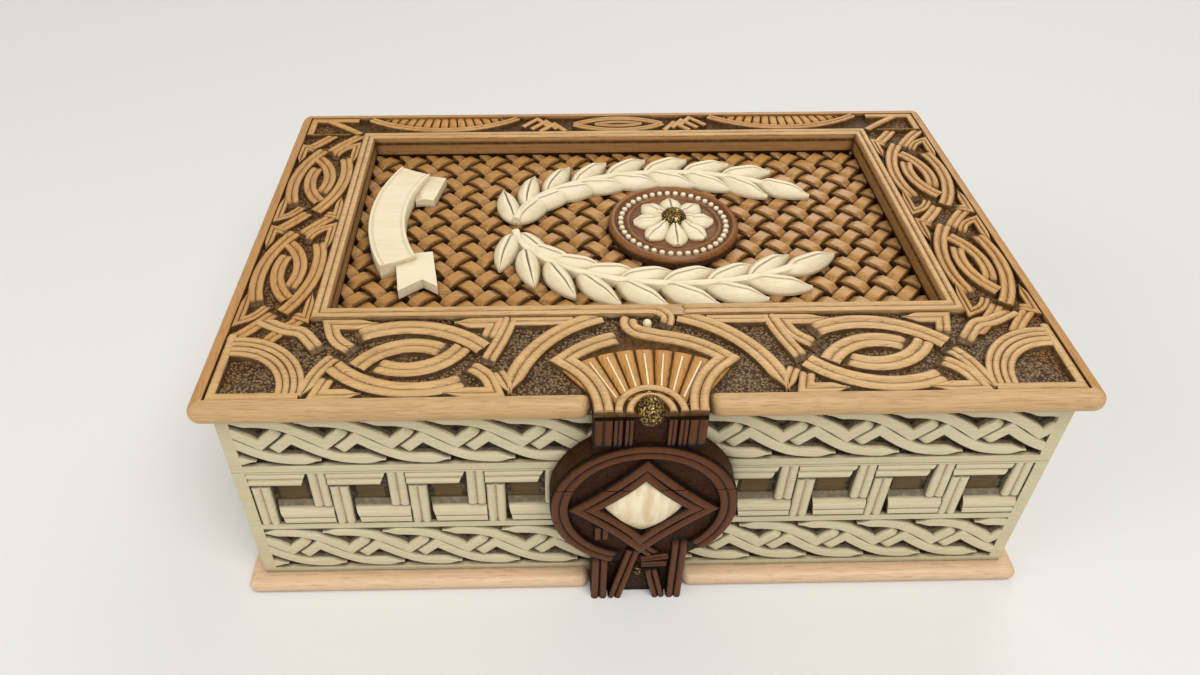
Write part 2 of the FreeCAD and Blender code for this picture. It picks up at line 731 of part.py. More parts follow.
def weave_gaps(window_width, window_depth):
    """Return the flat gaps between the plaited strips, which lie at 45 degrees, over and under in turn."""
    pitch, width = size("weave_pitch"), size("strip_width")
    length = pitch * math.sqrt(2) - width - 2 * size("strip_gap")
    columns, rows = (math.ceil(span / pitch) for span in (window_width, window_depth))
    strips = []
    for column in range(-columns, columns + 1):
        for row in range(-rows, rows + 1):
            if (column + row) % 2 == 0:
                lean = EIGHTH_DEG if column % 2 else -EIGHTH_DEG
                strips.append(rectangle_face(length, width, column * pitch / 2, row * pitch / 2, lean))
    return rectangle_face(window_width, window_depth).cut(strips)


def weave_panel():
    """Make the board under the window, with the gaps of its weave sunk from the strips' tops."""
    window_width = size("cover_width") - 2 * size("side_border")
    window_depth = size("cover_depth") - size("front_border") - size("back_border")
    lap, drop, thick = 2 * size("panel_lap"), size("weave_drop"), size("panel_thick")
    board = rectangle_face(window_width + lap, window_depth + lap).extrude(FreeCAD.Vector(0, 0, -thick))
    board.translate(FreeCAD.Vector(0, 0, drop))
    sunk = rectangle_face(window_width, window_depth).extrude(FreeCAD.Vector(0, 0, drop))
    gaps = weave_gaps(window_width, window_depth).extrude(FreeCAD.Vector(0, 0, -size("weave_depth")))
    item = doc.addObject("Part::Feature", "panel")
    item.Shape = board.cut(sunk).cut(gaps)
    return place(item, y="window_mid", z="weave_top")


def build_cover(fan):
    """Make the carved cover's four members and the weave panel under them."""
    blank = cover_board("cover_blank", "frame_thick", "strap_half + clasp_gap", "cover_base")
    ring_outer = middle_box("ring_outer", "cover_width - 2 * border_lip", "cover_depth - 2 * border_lip",
                            "border_carve + cut_overrun", z="border_ground")
    ring_inner = middle_box("ring_inner", "window_width + 2 * border_bead",
                            "window_depth + 2 * border_bead", "border_carve + cut_overrun",
                            y="window_mid", z="border_ground")
    ring = cut("border_ring", ring_outer, ring_inner, border_bands())
    full_width, inner_width = ("0 - cover_width / 2", "cover_width / 2"), \
        ("0 - window_width / 2", "window_width / 2")
    full_depth = ("cover_front", "cover_depth / 2")
    members = {
        "front": (full_width, inner_width, "front_border", "cover_depth / 2"),
        "back": (full_width, inner_width, "back_border", "cover_depth / 2"),
        "left": (full_depth, ("0 - window_back", "0 - window_front"), "side_border", "cover_width / 2"),
        "right": (full_depth, ("window_front", "window_back"), "side_border", "cover_width / 2"),
    }
    for side, (outer, inner, deep, reach) in members.items():
        quarter = mitred(f"{side}_quarter", side, outer, inner, deep, "frame_thick", "cover_base", reach)
        tools = [ring, fan] if side == "front" else [ring]
        member = common(f"{side}_member", blank, quarter)
        node(cut(f"{side}_frame", member, *tools), f"frame_{side}")
    node(weave_panel(), "weave_panel")


def diamond_block(name, grow, deep):
    """Make a square block standing on one corner, in the clasp's front face."""
    side = f"(diamond_side + 2 * {grow})"
    block = box(name, side, f"{deep} + dome_rise + cut_overrun", side)
    turn(block, AXIS_Y, EIGHTH_DEG)
    half = f"{side} * sqrt(2) / 2"
    return place(block, f"0 - {half}", "clasp_front - dome_rise - cut_overrun", "disc_height")


def build_clasp(fan):
    """Make the fan, the strap and disc cut by the seam, the cabochon and the beads."""
    bead = ball("bead", "bead_radius", y="clasp_front + bead_inset", z="fan_top - bead_sink")
    node(cut("fan", fan, bead), "fan_shell")
    disc = turn(rod("disc", "disc_radius", "clasp_thick"), AXIS_X, -QUARTER_DEG)
    place(disc, y="clasp_front", z="disc_height")
    strap = box("strap", "2 * strap_half", "clasp_thick", "border_ground - disc_height")
    place(strap, "0 - strap_half", "clasp_front", "disc_height")
    tail = box("tail", "2 * tail_half", "clasp_thick - clasp_proud + tail_proud", "disc_height")
    place(tail, "0 - tail_half", "clasp_front + clasp_proud - tail_proud", "0")
    below = middle_box("below_seam", "2 * disc_radius + 2 * cut_overrun",
                       "2 * clasp_thick + 2 * cut_overrun", "rim_base", y="clasp_front")
    above = middle_box("above_seam", "2 * disc_radius + 2 * cut_overrun",
                       "2 * clasp_thick + 2 * cut_overrun", "cover_top - tray_top", y="clasp_front",
                       z="tray_top")
    seat = diamond_block("diamond_seat", "0", "diamond_seat")
    notch = diamond_block("diamond_notch", "clasp_gap", "diamond_seat + clasp_gap")
    upper = cut("clasp_upper", fuse("upper_whole", strap, disc), below, notch, bead)
    node(upper, "clasp_upper")
    small = ball("small_bead", "tail_bead_radius", y="clasp_front + clasp_proud - tail_proud",
                 z="tail_bead_height")
    lower = cut("clasp_lower", fuse("lower_whole", disc, tail), above, seat, small)
    node(lower, "clasp_lower")
    dome = ball("dome", "dome_radius", y="clasp_front - dome_rise + dome_radius", z="disc_height")
    node(common("cabochon", diamond_block("diamond", "0", "diamond_seat"), dome), "clasp_diamond")
    node(bead, "clasp_bead")
    node(small, "tail_bead")


def build_emblem():
    """Make the applied carving on the weave: medallion, rosette and two laurel branches."""
    middle = ("emblem_x", "window_mid + emblem_y")
    disc = place(rod("medallion_disc", "medallion_radius", "medallion_thick"), *middle, "weave_top")
    bevel = bind(doc.addObject("Part::Cone", "medallion_edge"), Radius1="medallion_radius",
                 Radius2="medallion_radius - medallion_bevel", Height="medallion_bevel")
    place(bevel, *middle, "weave_top + medallion_thick")
    node(fuse("medallion", disc, bevel), "medallion")
    top = "weave_top + medallion_thick + medallion_bevel"
    petals = [place(rod("rosette_hub", "petal_orbit", "petal_thick"), *middle, top)]
    for number in range(PETAL_COUNT):
        angle = f"{FULL_DEG * number / PETAL_COUNT} deg"
        petal = rod(f"petal{number}", "petal_radius", "petal_thick")
        petals.append(place(petal, f"{middle[0]} + petal_orbit * cos({angle})",
                            f"{middle[1]} + petal_orbit * sin({angle})", top))
    bead = ball("rosette_ball", "rosette_bead_radius", *middle,
                f"{top} + petal_thick - rosette_bead_sink")
    flat = middle_box("rosette_ball_flat", "4 * rosette_bead_radius", "4 * rosette_bead_radius",
                      "4 * rosette_bead_radius", *middle, top)
    node(cut("rosette", fuse("rosette_whole", *petals), bead), "rosette")
    node(common("rosette_bead_top", bead, flat), "rosette_bead")
    node(branch("branch_front", -1), "laurel_front")
    node(branch("branch_back", 1), "laurel_back")


def build_ribbon():
    """Make the bare scroll: a bowed band with a folded flap and a cleft tail."""
    x, y = "ribbon_x", "window_mid + ribbon_y"
    bands = []
    for name, radius in (("outer", "ribbon_radius + ribbon_width / 2"),
                         ("inner", "ribbon_radius - ribbon_width / 2")):
        sector = rod(f"ribbon_{name}", radius, "ribbon_thick")
        bind(sector, Angle="ribbon_angle")
        turn(sector, AXIS_Z, STEP_DEG)
        sector.setExpression("Placement.Rotation.Angle", spell("180 deg - ribbon_angle / 2"))
        bands.append(place(sector, f"{x} + ribbon_radius - ribbon_bow", y, "weave_top"))
    band = cut("ribbon_band", *bands)
    flap = turn(box("ribbon_flap", "flap_width", "flap_length", "flap_thick"), AXIS_Z, FLAP_TURN_DEG)
    place(flap, f"{x} + ribbon_bow / 6", f"{y} + ribbon_chord / 2 - flap_length", "weave_top")
    tail = turn(box("ribbon_tail", "tail_width", "tail_length", "flap_thick"), AXIS_Z, TAIL_TURN_DEG)
    place(tail, x, f"{y} - ribbon_chord / 2 - tail_length * 2 / 3", "weave_top")
    cleft = box("ribbon_cleft", "tail_cleft", "tail_cleft", "flap_thick")
    turn(cleft, AXIS_Z, TAIL_TURN_DEG - EIGHTH_DEG)
    place(cleft, f"{x} + tail_width / 2 - tail_cleft / 2",
          f"{y} - ribbon_chord / 2 - tail_length * 2 / 3 + tail_cleft / 4", "weave_top")
    node(fuse("ribbon", band, flap, cut("ribbon_forked", tail, cleft)), "ribbon")


def write_parts():
    """Check every object and write each sub-part to its own file."""
    doc.recompute()
    failed = [item.Name for item in doc.Objects if {"Invalid", "Error"} & set(item.State)]
    if failed:
        raise RuntimeError(f"failed objects: {failed}")
    for item in nodes:
        shape = item.Shape
        if shape.isNull() or not shape.isValid() or not shape.Solids:
            raise RuntimeError(f"{item.Label}: no valid solid")
    os.makedirs("parts", exist_ok=True)
    for item in nodes:
        item.Shape.exportStep(os.path.join("parts", f"{item.Label}.step"))
        print(f"{item.Label}: {len(item.Shape.Solids)} solid(s), {item.Shape.Volume:.0f} mm3")


fill_sheet()
build_rim(build_tray())
fan_plan = fan_blank()
build_cover(fan_plan)
build_clasp(fan_plan)
build_emblem()
build_ribbon()
write_parts()
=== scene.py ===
"""Carved wooden book box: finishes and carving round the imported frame.

X runs along the long side, Y from the clasp side to the hinge side, Z up. Sizes are in millimetres
and become metres where a piece is made.
"""

from __future__ import annotations

import logging
import math
from dataclasses import dataclass, field, replace
from enum import Enum
from typing import Callable, Iterable, Sequence

import bmesh
import bpy
import numpy as np
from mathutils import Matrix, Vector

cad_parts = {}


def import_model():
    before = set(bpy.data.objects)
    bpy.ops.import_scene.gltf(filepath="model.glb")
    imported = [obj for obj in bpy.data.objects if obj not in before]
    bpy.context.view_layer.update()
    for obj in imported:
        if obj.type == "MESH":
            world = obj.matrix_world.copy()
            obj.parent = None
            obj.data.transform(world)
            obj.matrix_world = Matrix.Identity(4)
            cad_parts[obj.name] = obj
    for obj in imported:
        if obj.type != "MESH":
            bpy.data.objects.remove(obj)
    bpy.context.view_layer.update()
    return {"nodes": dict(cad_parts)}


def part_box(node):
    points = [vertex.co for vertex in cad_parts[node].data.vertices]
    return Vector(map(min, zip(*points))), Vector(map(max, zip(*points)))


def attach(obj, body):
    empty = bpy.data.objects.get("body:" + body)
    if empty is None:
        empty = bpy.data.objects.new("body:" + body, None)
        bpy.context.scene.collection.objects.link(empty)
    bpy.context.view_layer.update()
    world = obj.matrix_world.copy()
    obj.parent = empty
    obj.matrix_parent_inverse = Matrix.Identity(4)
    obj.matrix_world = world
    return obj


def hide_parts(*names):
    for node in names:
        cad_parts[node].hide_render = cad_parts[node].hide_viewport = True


LOG = logging.getLogger("book_box")
MM = 0.001
GAMMA = 2.2

# Materials: object coordinates in millimetres, and the angle up to which faces shade as one.
TRUE_SCALE = (1000.0, 1000.0, 1000.0)
SMOOTH_ANGLE = math.radians(38)

# Bands: the step between points, what counts as a sharp turn, how far a mitre may reach there, the width
# left at a tapered end, and how much lower each band lies than the one that crosses over it.
PATH_STEP = 1.2
SHARP_TURN = math.radians(25)
STEEPEST_MITRE = 2.2
LEAST_COSINE = 0.42
TAPER_SHARE = 0.08
LAYER_STEP = 0.01
CUT_TOLERANCE = 1e-7

Piece = bpy.types.Object
Socket = bpy.types.NodeSocket
Tree = bpy.types.NodeTree
Colour = tuple[float, float, float, float]
Point = tuple[float, float]
Line = tuple[Point, ...]
Spot = tuple[float, float, float]
Plane = tuple[Sequence[float], Sequence[float]]
Faces = list[tuple[int, ...]]


def srgb(red: int, green: int, blue: int) -> Colour:
    """Turn a colour as it looks on screen into the linear colour that a shader takes.

    Args:
        red: red, 0 to 255.
        green: green, 0 to 255.
        blue: blue, 0 to 255.

    Returns:
        The linear colour with full alpha.
    """
    linear = [(value / 255) ** GAMMA for value in (red, green, blue)]
    return (linear[0], linear[1], linear[2], 1.0)


class Body(str, Enum):
    """The two bodies that pieces ride on."""

    TRAY = "tray"
    LID = "lid"


def mirrored(*half: Point) -> Line:
    """Complete a cross-section from its left half, which may end on the middle line."""
    return half + tuple((-place, rise) for place, rise in reversed(half) if place)


class Section(Enum):
    """Cross-sections of carved strands: share of the half width, share of the height."""

    REEDED = mirrored((-1, 0), (-0.98, 0.76), (-0.87, 0.92), (-0.68, 0.99), (-0.5, 1), (-0.32, 0.97),
                      (-0.14, 0.89), (0, 0.74))
    STRAP = mirrored((-1, 0), (-0.99, 0.82), (-0.9, 0.96), (-0.6, 1))
    ROUND = mirrored((-1, 0), (-0.97, 0.55), (-0.8, 0.84), (-0.42, 0.97), (0, 1))
    FLAT = mirrored((-1, 0), (-1, 0.82), (-0.86, 1))
    BAR = mirrored((-1, 0), (-0.98, 0.86), (-0.86, 1))
    SILL = ((-1, 0), (-0.99, 0.8), (-0.93, 0.96), (-0.8, 1), (-0.58, 1), (-0.47, 0.94), (-0.42, 0.66),
            (-0.37, 0.94), (-0.26, 1), (0.08, 1), (0.2, 0.94), (1, 0.14), (1, 0))
    LEAF = mirrored((-1, 0), (-0.97, 0.34), (-0.72, 0.74), (-0.36, 0.96), (-0.1, 0.93), (0, 0.66))
    RIBBON = mirrored((-1, 0), (-1, 0.93), (-0.96, 1), (-0.84, 1), (-0.8, 0.93), (-0.74, 0.93),
                      (-0.7, 0.97), (0, 0.93))


@dataclass(frozen=True)
class Face:
    """A flat working face: where a carving's own run, rise and height lie in space."""

    origin: Spot
    along: Spot = (1.0, 0.0, 0.0)
    across: Spot = (0.0, 1.0, 0.0)

    def place(self, flat: np.ndarray, height: np.ndarray) -> np.ndarray:
        """Put points of the working face into space.

        Args:
            flat: run and rise of each point.
            height: height of each point over the face.

        Returns:
            The points in space, in millimetres.
        """
        along, across = np.array(self.along), np.array(self.across)
        out = np.cross(along, across)
        return (np.array(self.origin) + flat[:, :1] * along + flat[:, 1:] * across
                + np.asarray(height)[:, None] * out)


def bridged(rings: int, count: int, flipped: bool = False, closed: bool = False) -> Faces:
    """List the four-sided faces between rings of points that follow each other.

    Args:
        rings: how many rings there are.
        count: points in each ring.
        flipped: whether the faces look the other way.
        closed: whether the last ring joins the first.

    Returns:
        The point numbers of each face.
    """
    faces: Faces = []
    for ring in range(rings if closed else rings - 1):
        here, there = ring * count, (ring + 1) % rings * count
        for step in range(count):
            after = (step + 1) % count
            quad = (here + step, here + after, there + after, there + step)
            faces.append((quad[0], *quad[:0:-1]) if flipped else quad)
    return faces


class Draft:
    """A mesh drawn up in millimetres, with the share of the carving's height at each point."""

    def __init__(self) -> None:
        """Start with nothing drawn."""
        self.points: list[np.ndarray] = []
        self.relief: list[np.ndarray] = []
        self.faces: Faces = []
        self.count = 0

    def add(self, points: np.ndarray, faces: Iterable[Sequence[int]],
            relief: np.ndarray | float = 1.0) -> None:
        """Add points and the faces between them.

        Args:
            points: places in millimetres.
            faces: point numbers of each face, counted from this call's first point.
            relief: share of the carving's height at each point.
        """
        self.faces.extend(tuple(index + self.count for index in face) for face in faces)
        self.points.append(points)
        self.relief.append(np.broadcast_to(relief, (len(points),)))
        self.count += len(points)

    def take(self, piece: Piece) -> None:
        """Add an object's mesh and take the object itself out of the scene.

        Args:
            piece: the object to add.
        """
        mesh = piece.data
        points, relief = np.empty(len(mesh.vertices) * 3), np.empty(len(mesh.vertices))
        mesh.vertices.foreach_get("co", points)
        mesh.attributes["relief"].data.foreach_get("value", relief)
        self.add(points.reshape(-1, 3) / MM, [tuple(face.vertices) for face in mesh.polygons], relief)
        bpy.data.objects.remove(piece)
        bpy.data.meshes.remove(mesh)

    def piece(self, name: str) -> Piece:
        """Make the drawn mesh an object of the scene, in metres.

        Args:
            name: the piece's name.

        Returns:
            The new object, at the origin.
        """
        mesh = bpy.data.meshes.new(name)
        mesh.from_pydata((np.vstack(self.points) * MM).tolist(), [], self.faces)
        depth = mesh.attributes.new("relief", "FLOAT", "POINT")
        depth.data.foreach_set("value", np.concatenate(self.relief).astype(np.float32))
        mesh.update()
        piece = bpy.data.objects.new(name, mesh)
        bpy.context.scene.collection.objects.link(piece)
        return piece


def spaced(path: Sequence[Point] | np.ndarray, step: float = PATH_STEP) -> np.ndarray:
    """Divide the straight runs of a path without moving its corners.

    Args:
        path: the corners in order.
        step: longest distance between points.

    Returns:
        The divided path.
    """
    corners = np.asarray(path, float)
    points = [corners[:1]]
    for first, last in zip(corners[:-1], corners[1:]):
        count = max(1, math.ceil(float(np.linalg.norm(last - first)) / step))
        shares = np.arange(1, count + 1)[:, None] / count
        points.append(first + (last - first) * shares)
    return np.vstack(points)


def turned(centre: Point, radius: float, start: float, end: float) -> np.ndarray:
    """Draw an arc about a centre.

    Args:
        centre: middle of the circle.
        radius: its radius.
        start: first angle in degrees.
        end: last angle in degrees.

    Returns:
        Points along the arc.
    """
    count = max(3, math.ceil(abs(math.radians(end - start)) * radius / PATH_STEP))
    angles = np.radians(np.linspace(start, end, count + 1))
    return np.array(centre) + radius * np.column_stack((np.cos(angles), np.sin(angles)))


def bowed(first: Point, middle: Point, last: Point) -> np.ndarray:
    """Draw the arc through three points.

    Args:
        first: where the arc starts.
        middle: a point that it passes.
        last: where it ends.

    Returns:
        Points along the arc.
    """
    start, mid, end = (complex(*point) for point in (first, middle, last))
    skew = (end - start) / (mid - start)
    centre = start + (mid - start) * (skew - abs(skew) ** 2) / (2j * skew.imag)
    radius = abs(start - centre)
    angles = [math.degrees(np.angle(point - centre)) for point in (start, mid, end)]
    sweep = (angles[2] - angles[0]) % 360
    if (angles[1] - angles[0]) % 360 > sweep:
        sweep -= 360
    return turned((centre.real, centre.imag), radius, angles[0], angles[0] + sweep)


def flowing(points: Sequence[Point] | np.ndarray) -> np.ndarray:
    """Draw a smooth line through points.

    Args:
        points: the points to pass.

    Returns:
        Points along the line.
    """
    knots = np.asarray(points, float)
    padded = np.vstack((2 * knots[0] - knots[1], knots, 2 * knots[-1] - knots[-2]))
    line = [knots[:1]]
    for before, first, last, after in zip(padded, padded[1:], padded[2:], padded[3:]):
        count = max(2, math.ceil(float(np.linalg.norm(last - first)) / PATH_STEP))
        share = (np.arange(1, count + 1) / count)[:, None]
        line.append(0.5 * (2 * first + (last - before) * share
                           + (2 * before - 5 * first + 4 * last - after) * share ** 2
                           + (3 * first - before - 3 * last + after) * share ** 3))
    return np.vstack(line)


def mitres(path: np.ndarray, closed: bool) -> tuple[np.ndarray, np.ndarray]:
    """Find the side direction at each point of a path, lengthened where the path turns.

    Args:
        path: points of the path.
        closed: whether the last point joins the first.

    Returns:
        The side steps for a unit of half width, and the directions of travel.
    """
    runs = np.diff(np.vstack((path, path[:1])) if closed else path, axis=0)
    runs /= np.linalg.norm(runs, axis=1)[:, None]
    if closed:
        before, after = np.roll(runs, 1, axis=0), runs
    else:
        before, after = np.vstack((runs[:1], runs)), np.vstack((runs, runs[-1:]))
    travel = before + after
    travel /= np.linalg.norm(travel, axis=1)[:, None]
    stretch = 1 / np.clip(np.sum(travel * after, axis=1), LEAST_COSINE, 1)
    side = np.column_stack((-travel[:, 1], travel[:, 0])) * stretch[:, None]
    return side, travel


def clear_of_corners(path: np.ndarray, half: float, closed: bool) -> np.ndarray:
    """Find the points of a path whose sections don't run across a sharp corner.

    Args:
        path: points of the path.
        half: half the band's width.
        closed: whether the last point joins the first.

    Returns:
        Whether each point stays.
    """
    ends = (path[-1], path[0]) if closed else (2 * path[0] - path[1], 2 * path[-1] - path[-2])
    steps = np.diff(np.vstack((ends[0], path, ends[1])), axis=0)
    lengths = np.linalg.norm(steps, axis=1)
    heads = steps / lengths[:, None]
    turns = np.arccos(np.clip(np.sum(heads[:-1] * heads[1:], axis=1), -1, 1))
    done = np.cumsum(lengths[:-1])
    around = done[-1] - done[0] + lengths[-1]
    sharp = np.flatnonzero(turns > SHARP_TURN)
    stays = np.ones(len(path), bool)
    for corner in sharp:
        gap = np.abs(done - done[corner])
        if closed:
            gap = np.minimum(gap, around - gap)
        stays &= gap >= half * min(math.tan(turns[corner] / 2), STEEPEST_MITRE)
    stays[sharp] = True
    if not closed:
        stays[[0, -1]] = True
    return stays


@dataclass
class Strand:
    """One carved band that follows a path on a working face."""

    path: np.ndarray
    half: float | np.ndarray
    height: float
    section: Section = Section.REEDED
    foot: float = 0.0
    dives: Point = (0.0, 0.0)
    tapers: Point = (0.0, 0.0)
    skews: Point = (0.0, 0.0)
    closed: bool = False
    low_share: float = 0.3

    def __post_init__(self) -> None:
        """Drop the points whose sections would cross a sharp corner of the path."""
        stays = clear_of_corners(self.path, float(np.max(self.half)), self.closed)
        self.path = self.path[stays]
        if isinstance(self.half, np.ndarray):
            self.half = self.half[stays]

    def ends(self, reaches: Point, low: float) -> np.ndarray:
        """Ease a value from a low share at the ends of the path up to one.

        Args:
            reaches: length of the ease at the start and at the end.
            low: the share at the very end.

        Returns:
            The share at each point of the path.
        """
        steps = np.linalg.norm(np.diff(self.path, axis=0), axis=1)
        done = np.concatenate(([0.0], np.cumsum(steps)))
        share = np.ones(len(self.path))
        for reach, gone in zip(reaches, (done, done[-1] - done)):
            if reach > 0:
                ease = np.clip(gone / reach, 0, 1)
                share = np.minimum(share, low + (1 - low) * ease * ease * (3 - 2 * ease))
        return share

    def draw(self, draft: Draft, face: Face) -> None:
        """Draw the band as a closed mesh.

        Args:
            draft: the mesh to add to.
            face: the working face that it lies on.
        """
        profile = np.array(self.section.value, float)
        rings, wide = len(self.path), len(profile)
        side, travel = mitres(self.path, self.closed)
        half = self.half * self.ends(self.tapers, TAPER_SHARE)
        rise = self.ends(self.dives, self.low_share)
        flat = self.path[:, None, :] + side[:, None, :] * (half[:, None] * profile[:, 0])[:, :, None]
        for ring, skew in ((0, self.skews[0]), (-1, self.skews[1])):
            flat[ring] += travel[ring] * (skew * profile[:, :1])
        relief = rise[:, None] * profile[:, 1]
        points = face.place(flat.reshape(-1, 2), self.foot + self.height * relief.ravel())
        faces = bridged(rings, wide, flipped=True, closed=self.closed)
        if not self.closed:
            faces.append(tuple(range(wide)))
            faces.append(tuple(reversed(range((rings - 1) * wide, rings * wide))))
        draft.add(points, faces, relief.ravel())


def draw_strands(name: str, face: Face, strands: Iterable[Strand]) -> Piece:
    """Make a piece of bands on a working face.

    Args:
        name: the piece's name.
        face: the working face that they lie on.
        strands: the bands.

    Returns:
        The new object.
    """
    draft = Draft()
    for strand in strands:
        strand.draw(draft, face)
    return draft.piece(name)


def draw_plate(draft: Draft, face: Face, outline: np.ndarray, high: float, relief: float = 1.0) -> None:
    """Draw a flat plate with upright sides.

    Args:
        draft: the mesh to add to.
        face: the working face that it lies on.
        outline: its corners, counter-clockwise.
        high: height of its top.
        relief: share of the carving's height that it counts as.
    """
    count = len(outline)
    points = np.vstack([face.place(outline, np.full(count, level)) for level in (0.0, high)])
    faces: Faces = [tuple(reversed(range(count))), tuple(range(count, 2 * count)), *bridged(2, count)]
    draft.add(points, faces, relief)


def draw_turning(draft: Draft, face: Face, centre: Point, profile: Sequence[Point], count: int) -> None:
    """Draw a turned shape that stands on a working face.

    Args:
        draft: the mesh to add to.
        face: the working face.
        centre: where the turning axis meets the face.
        profile: radius and height from the bottom edge up to the axis.
        count: divisions round the axis.
    """
    sizes = np.array(profile, float)
    angles = np.linspace(0, 2 * math.pi, count, endpoint=False)
    circle = np.column_stack((np.cos(angles), np.sin(angles)))
    low, top = sizes[:, 1].min(), sizes[:, 1].max()
    points, relief = [], []
    for radius, height in sizes[:-1]:
        points.append(face.place(np.array(centre) + radius * circle, np.full(count, height)))
        relief.append(np.full(count, (height - low) / max(top - low, MM)))
    points.append(face.place(np.array([centre], float), np.array([sizes[-1][1]])))
    relief.append(np.array([1.0]))
    last = len(sizes) - 2
    pole = (last + 1) * count
    faces: Faces = [tuple(reversed(range(count))), *bridged(last + 1, count)]
    faces.extend((last * count + step, last * count + (step + 1) % count, pole) for step in range(count))
    draft.add(np.vstack(points), faces, np.concatenate(relief))


def trim(piece: Piece, cuts: Iterable[Plane]) -> None:
    """Cut a piece back to planes and close the cut ends.

    Args:
        piece: the piece to cut.
        cuts: a point in millimetres and an outward direction for each plane.
    """
    cell = bmesh.new()
    cell.from_mesh(piece.data)
    for point, out in cuts:
        geometry = [*cell.verts, *cell.edges, *cell.faces]
        bmesh.ops.bisect_plane(cell, geom=geometry, plane_co=[value * MM for value in point], plane_no=out,
                               clear_outer=True, dist=CUT_TOLERANCE)
        rims = [edge for edge in cell.edges if edge.is_boundary]
        if rims:
            bmesh.ops.holes_fill(cell, edges=rims, sides=0)
    loose = [vertex for vertex in cell.verts if not vertex.link_faces]
    bmesh.ops.delete(cell, geom=loose, context="VERTS")
    bmesh.ops.recalc_face_normals(cell, faces=cell.faces)
    cell.to_mesh(piece.data)
    cell.free()


def cuts_round(x: Point, y: Point, gap: float) -> list[Plane]:
    """Give the four planes round a field that lies flat, a gap inside its edges."""
    return [((x[0] + gap, 0, 0), (-1, 0, 0)), ((x[1] - gap, 0, 0), (1, 0, 0)),
            ((0, y[0] + gap, 0), (0, -1, 0)), ((0, y[1] - gap, 0), (0, 1, 0))]


def carve(name: str, strands: Iterable[Strand], face: Face, cuts: Iterable[Plane]) -> Piece:
    """Make a piece of bands that cross, each a little lower and shorter than the one before it.

    Args:
        name: the piece's name.
        strands: the bands, the uppermost first.
        face: the working face that they lie on.
        cuts: the planes that they are cut back to.

    Returns:
        The new object.
    """
    whole = Draft()
    for number, strand in enumerate(strands):
        step = LAYER_STEP * number
        strand.height -= step
        band = draw_strands(f"{name}_band", face, [strand])
        trim(band, [(np.array(point) - np.array(out) * step, out) for point, out in cuts])
        whole.take(band)
    return whole.piece(name)


class NodeBoard:
    """Places nodes on a tree and links them."""

    def __init__(self, tree: Tree) -> None:
        """Work on one tree."""
        self.tree = tree

    def wire(self, node: bpy.types.Node, inputs: dict) -> None:
        """Fill a node's inputs.

        Args:
            node: the node.
            inputs: a value, or the socket to link, for each named or numbered input.
        """
        for key, value in inputs.items():
            if isinstance(value, Socket):
                self.tree.links.new(value, node.inputs[key])
            else:
                node.inputs[key].default_value = value

    def add(self, kind: str, inputs: dict | None = None, **settings: object) -> bpy.types.Node:
        """Place a node.

        Args:
            kind: the node's type.
            inputs: a value, or the socket to link, for each named or numbered input.
            settings: the node's own options.

        Returns:
            The new node.
        """
        node = self.tree.nodes.new(kind)
        for name, value in settings.items():
            setattr(node, name, value)
        self.wire(node, inputs or {})
        return node

    def mix(self, share: object, first: object, second: object) -> Socket:
        """Mix two colours and give the colour that comes out."""
        return self.add("ShaderNodeMix", {0: share, 6: first, 7: second}, data_type="RGBA").outputs[2]

    def mix_value(self, share: object, first: object, second: object) -> Socket:
        """Mix two numbers and give the number that comes out."""
        return self.add("ShaderNodeMix", {0: share, 2: first, 3: second}, data_type="FLOAT").outputs[0]

    def sum(self, operation: str, *values: object, clamp: bool = True) -> Socket:
        """Work out one operation on numbers, kept between 0 and 1 if clamped, and give its result."""
        node = self.add("ShaderNodeMath", dict(enumerate(values)), operation=operation, use_clamp=clamp)
        return node.outputs[0]

    def ramp(self, value: object, low: float, high: float, start: object = 0.0,
             end: float = 1.0) -> Socket:
        """Stretch a value's range from low and high to start and end."""
        return self.add("ShaderNodeMapRange", {0: value, 1: low, 2: high, 3: start, 4: end}).outputs[0]

    def noise(self, vector: object, scale: float, **more: float) -> Socket:
        """Place a noise, with more of its inputs by name, and give its value."""
        return self.add("ShaderNodeTexNoise", {"Vector": vector, "Scale": scale, **more}).outputs[0]

    def mapped(self, place: object, scale: Sequence[float]) -> Socket:
        """Stretch coordinates along each axis and give them."""
        return self.add("ShaderNodeMapping", {"Vector": place, "Scale": scale}).outputs[0]


def node_group(name: str, kind: str, inputs: dict[str, tuple[str, object]], outputs: dict[str, str],
               fill: Callable[[NodeBoard, dict], dict]) -> Tree:
    """Give a shared node group, built the first time that it is asked for.

    Args:
        name: the group's name.
        kind: the type of its tree.
        inputs: socket type and value of each input.
        outputs: socket type of each output.
        fill: draws the nodes and gives the socket for each output.

    Returns:
        The group.
    """
    found = bpy.data.node_groups.get(name)
    if found:
        return found
    tree = bpy.data.node_groups.new(name, kind)
    for label, (socket_kind, value) in inputs.items():
        socket = tree.interface.new_socket(label, in_out="INPUT", socket_type=socket_kind)
        if value is not None:
            socket.default_value = value
    for label, socket_kind in outputs.items():
        tree.interface.new_socket(label, in_out="OUTPUT", socket_type=socket_kind)
    board = NodeBoard(tree)
    source, sink = board.add("NodeGroupInput"), board.add("NodeGroupOutput")
    board.wire(sink, fill(board, source.outputs))
    return tree


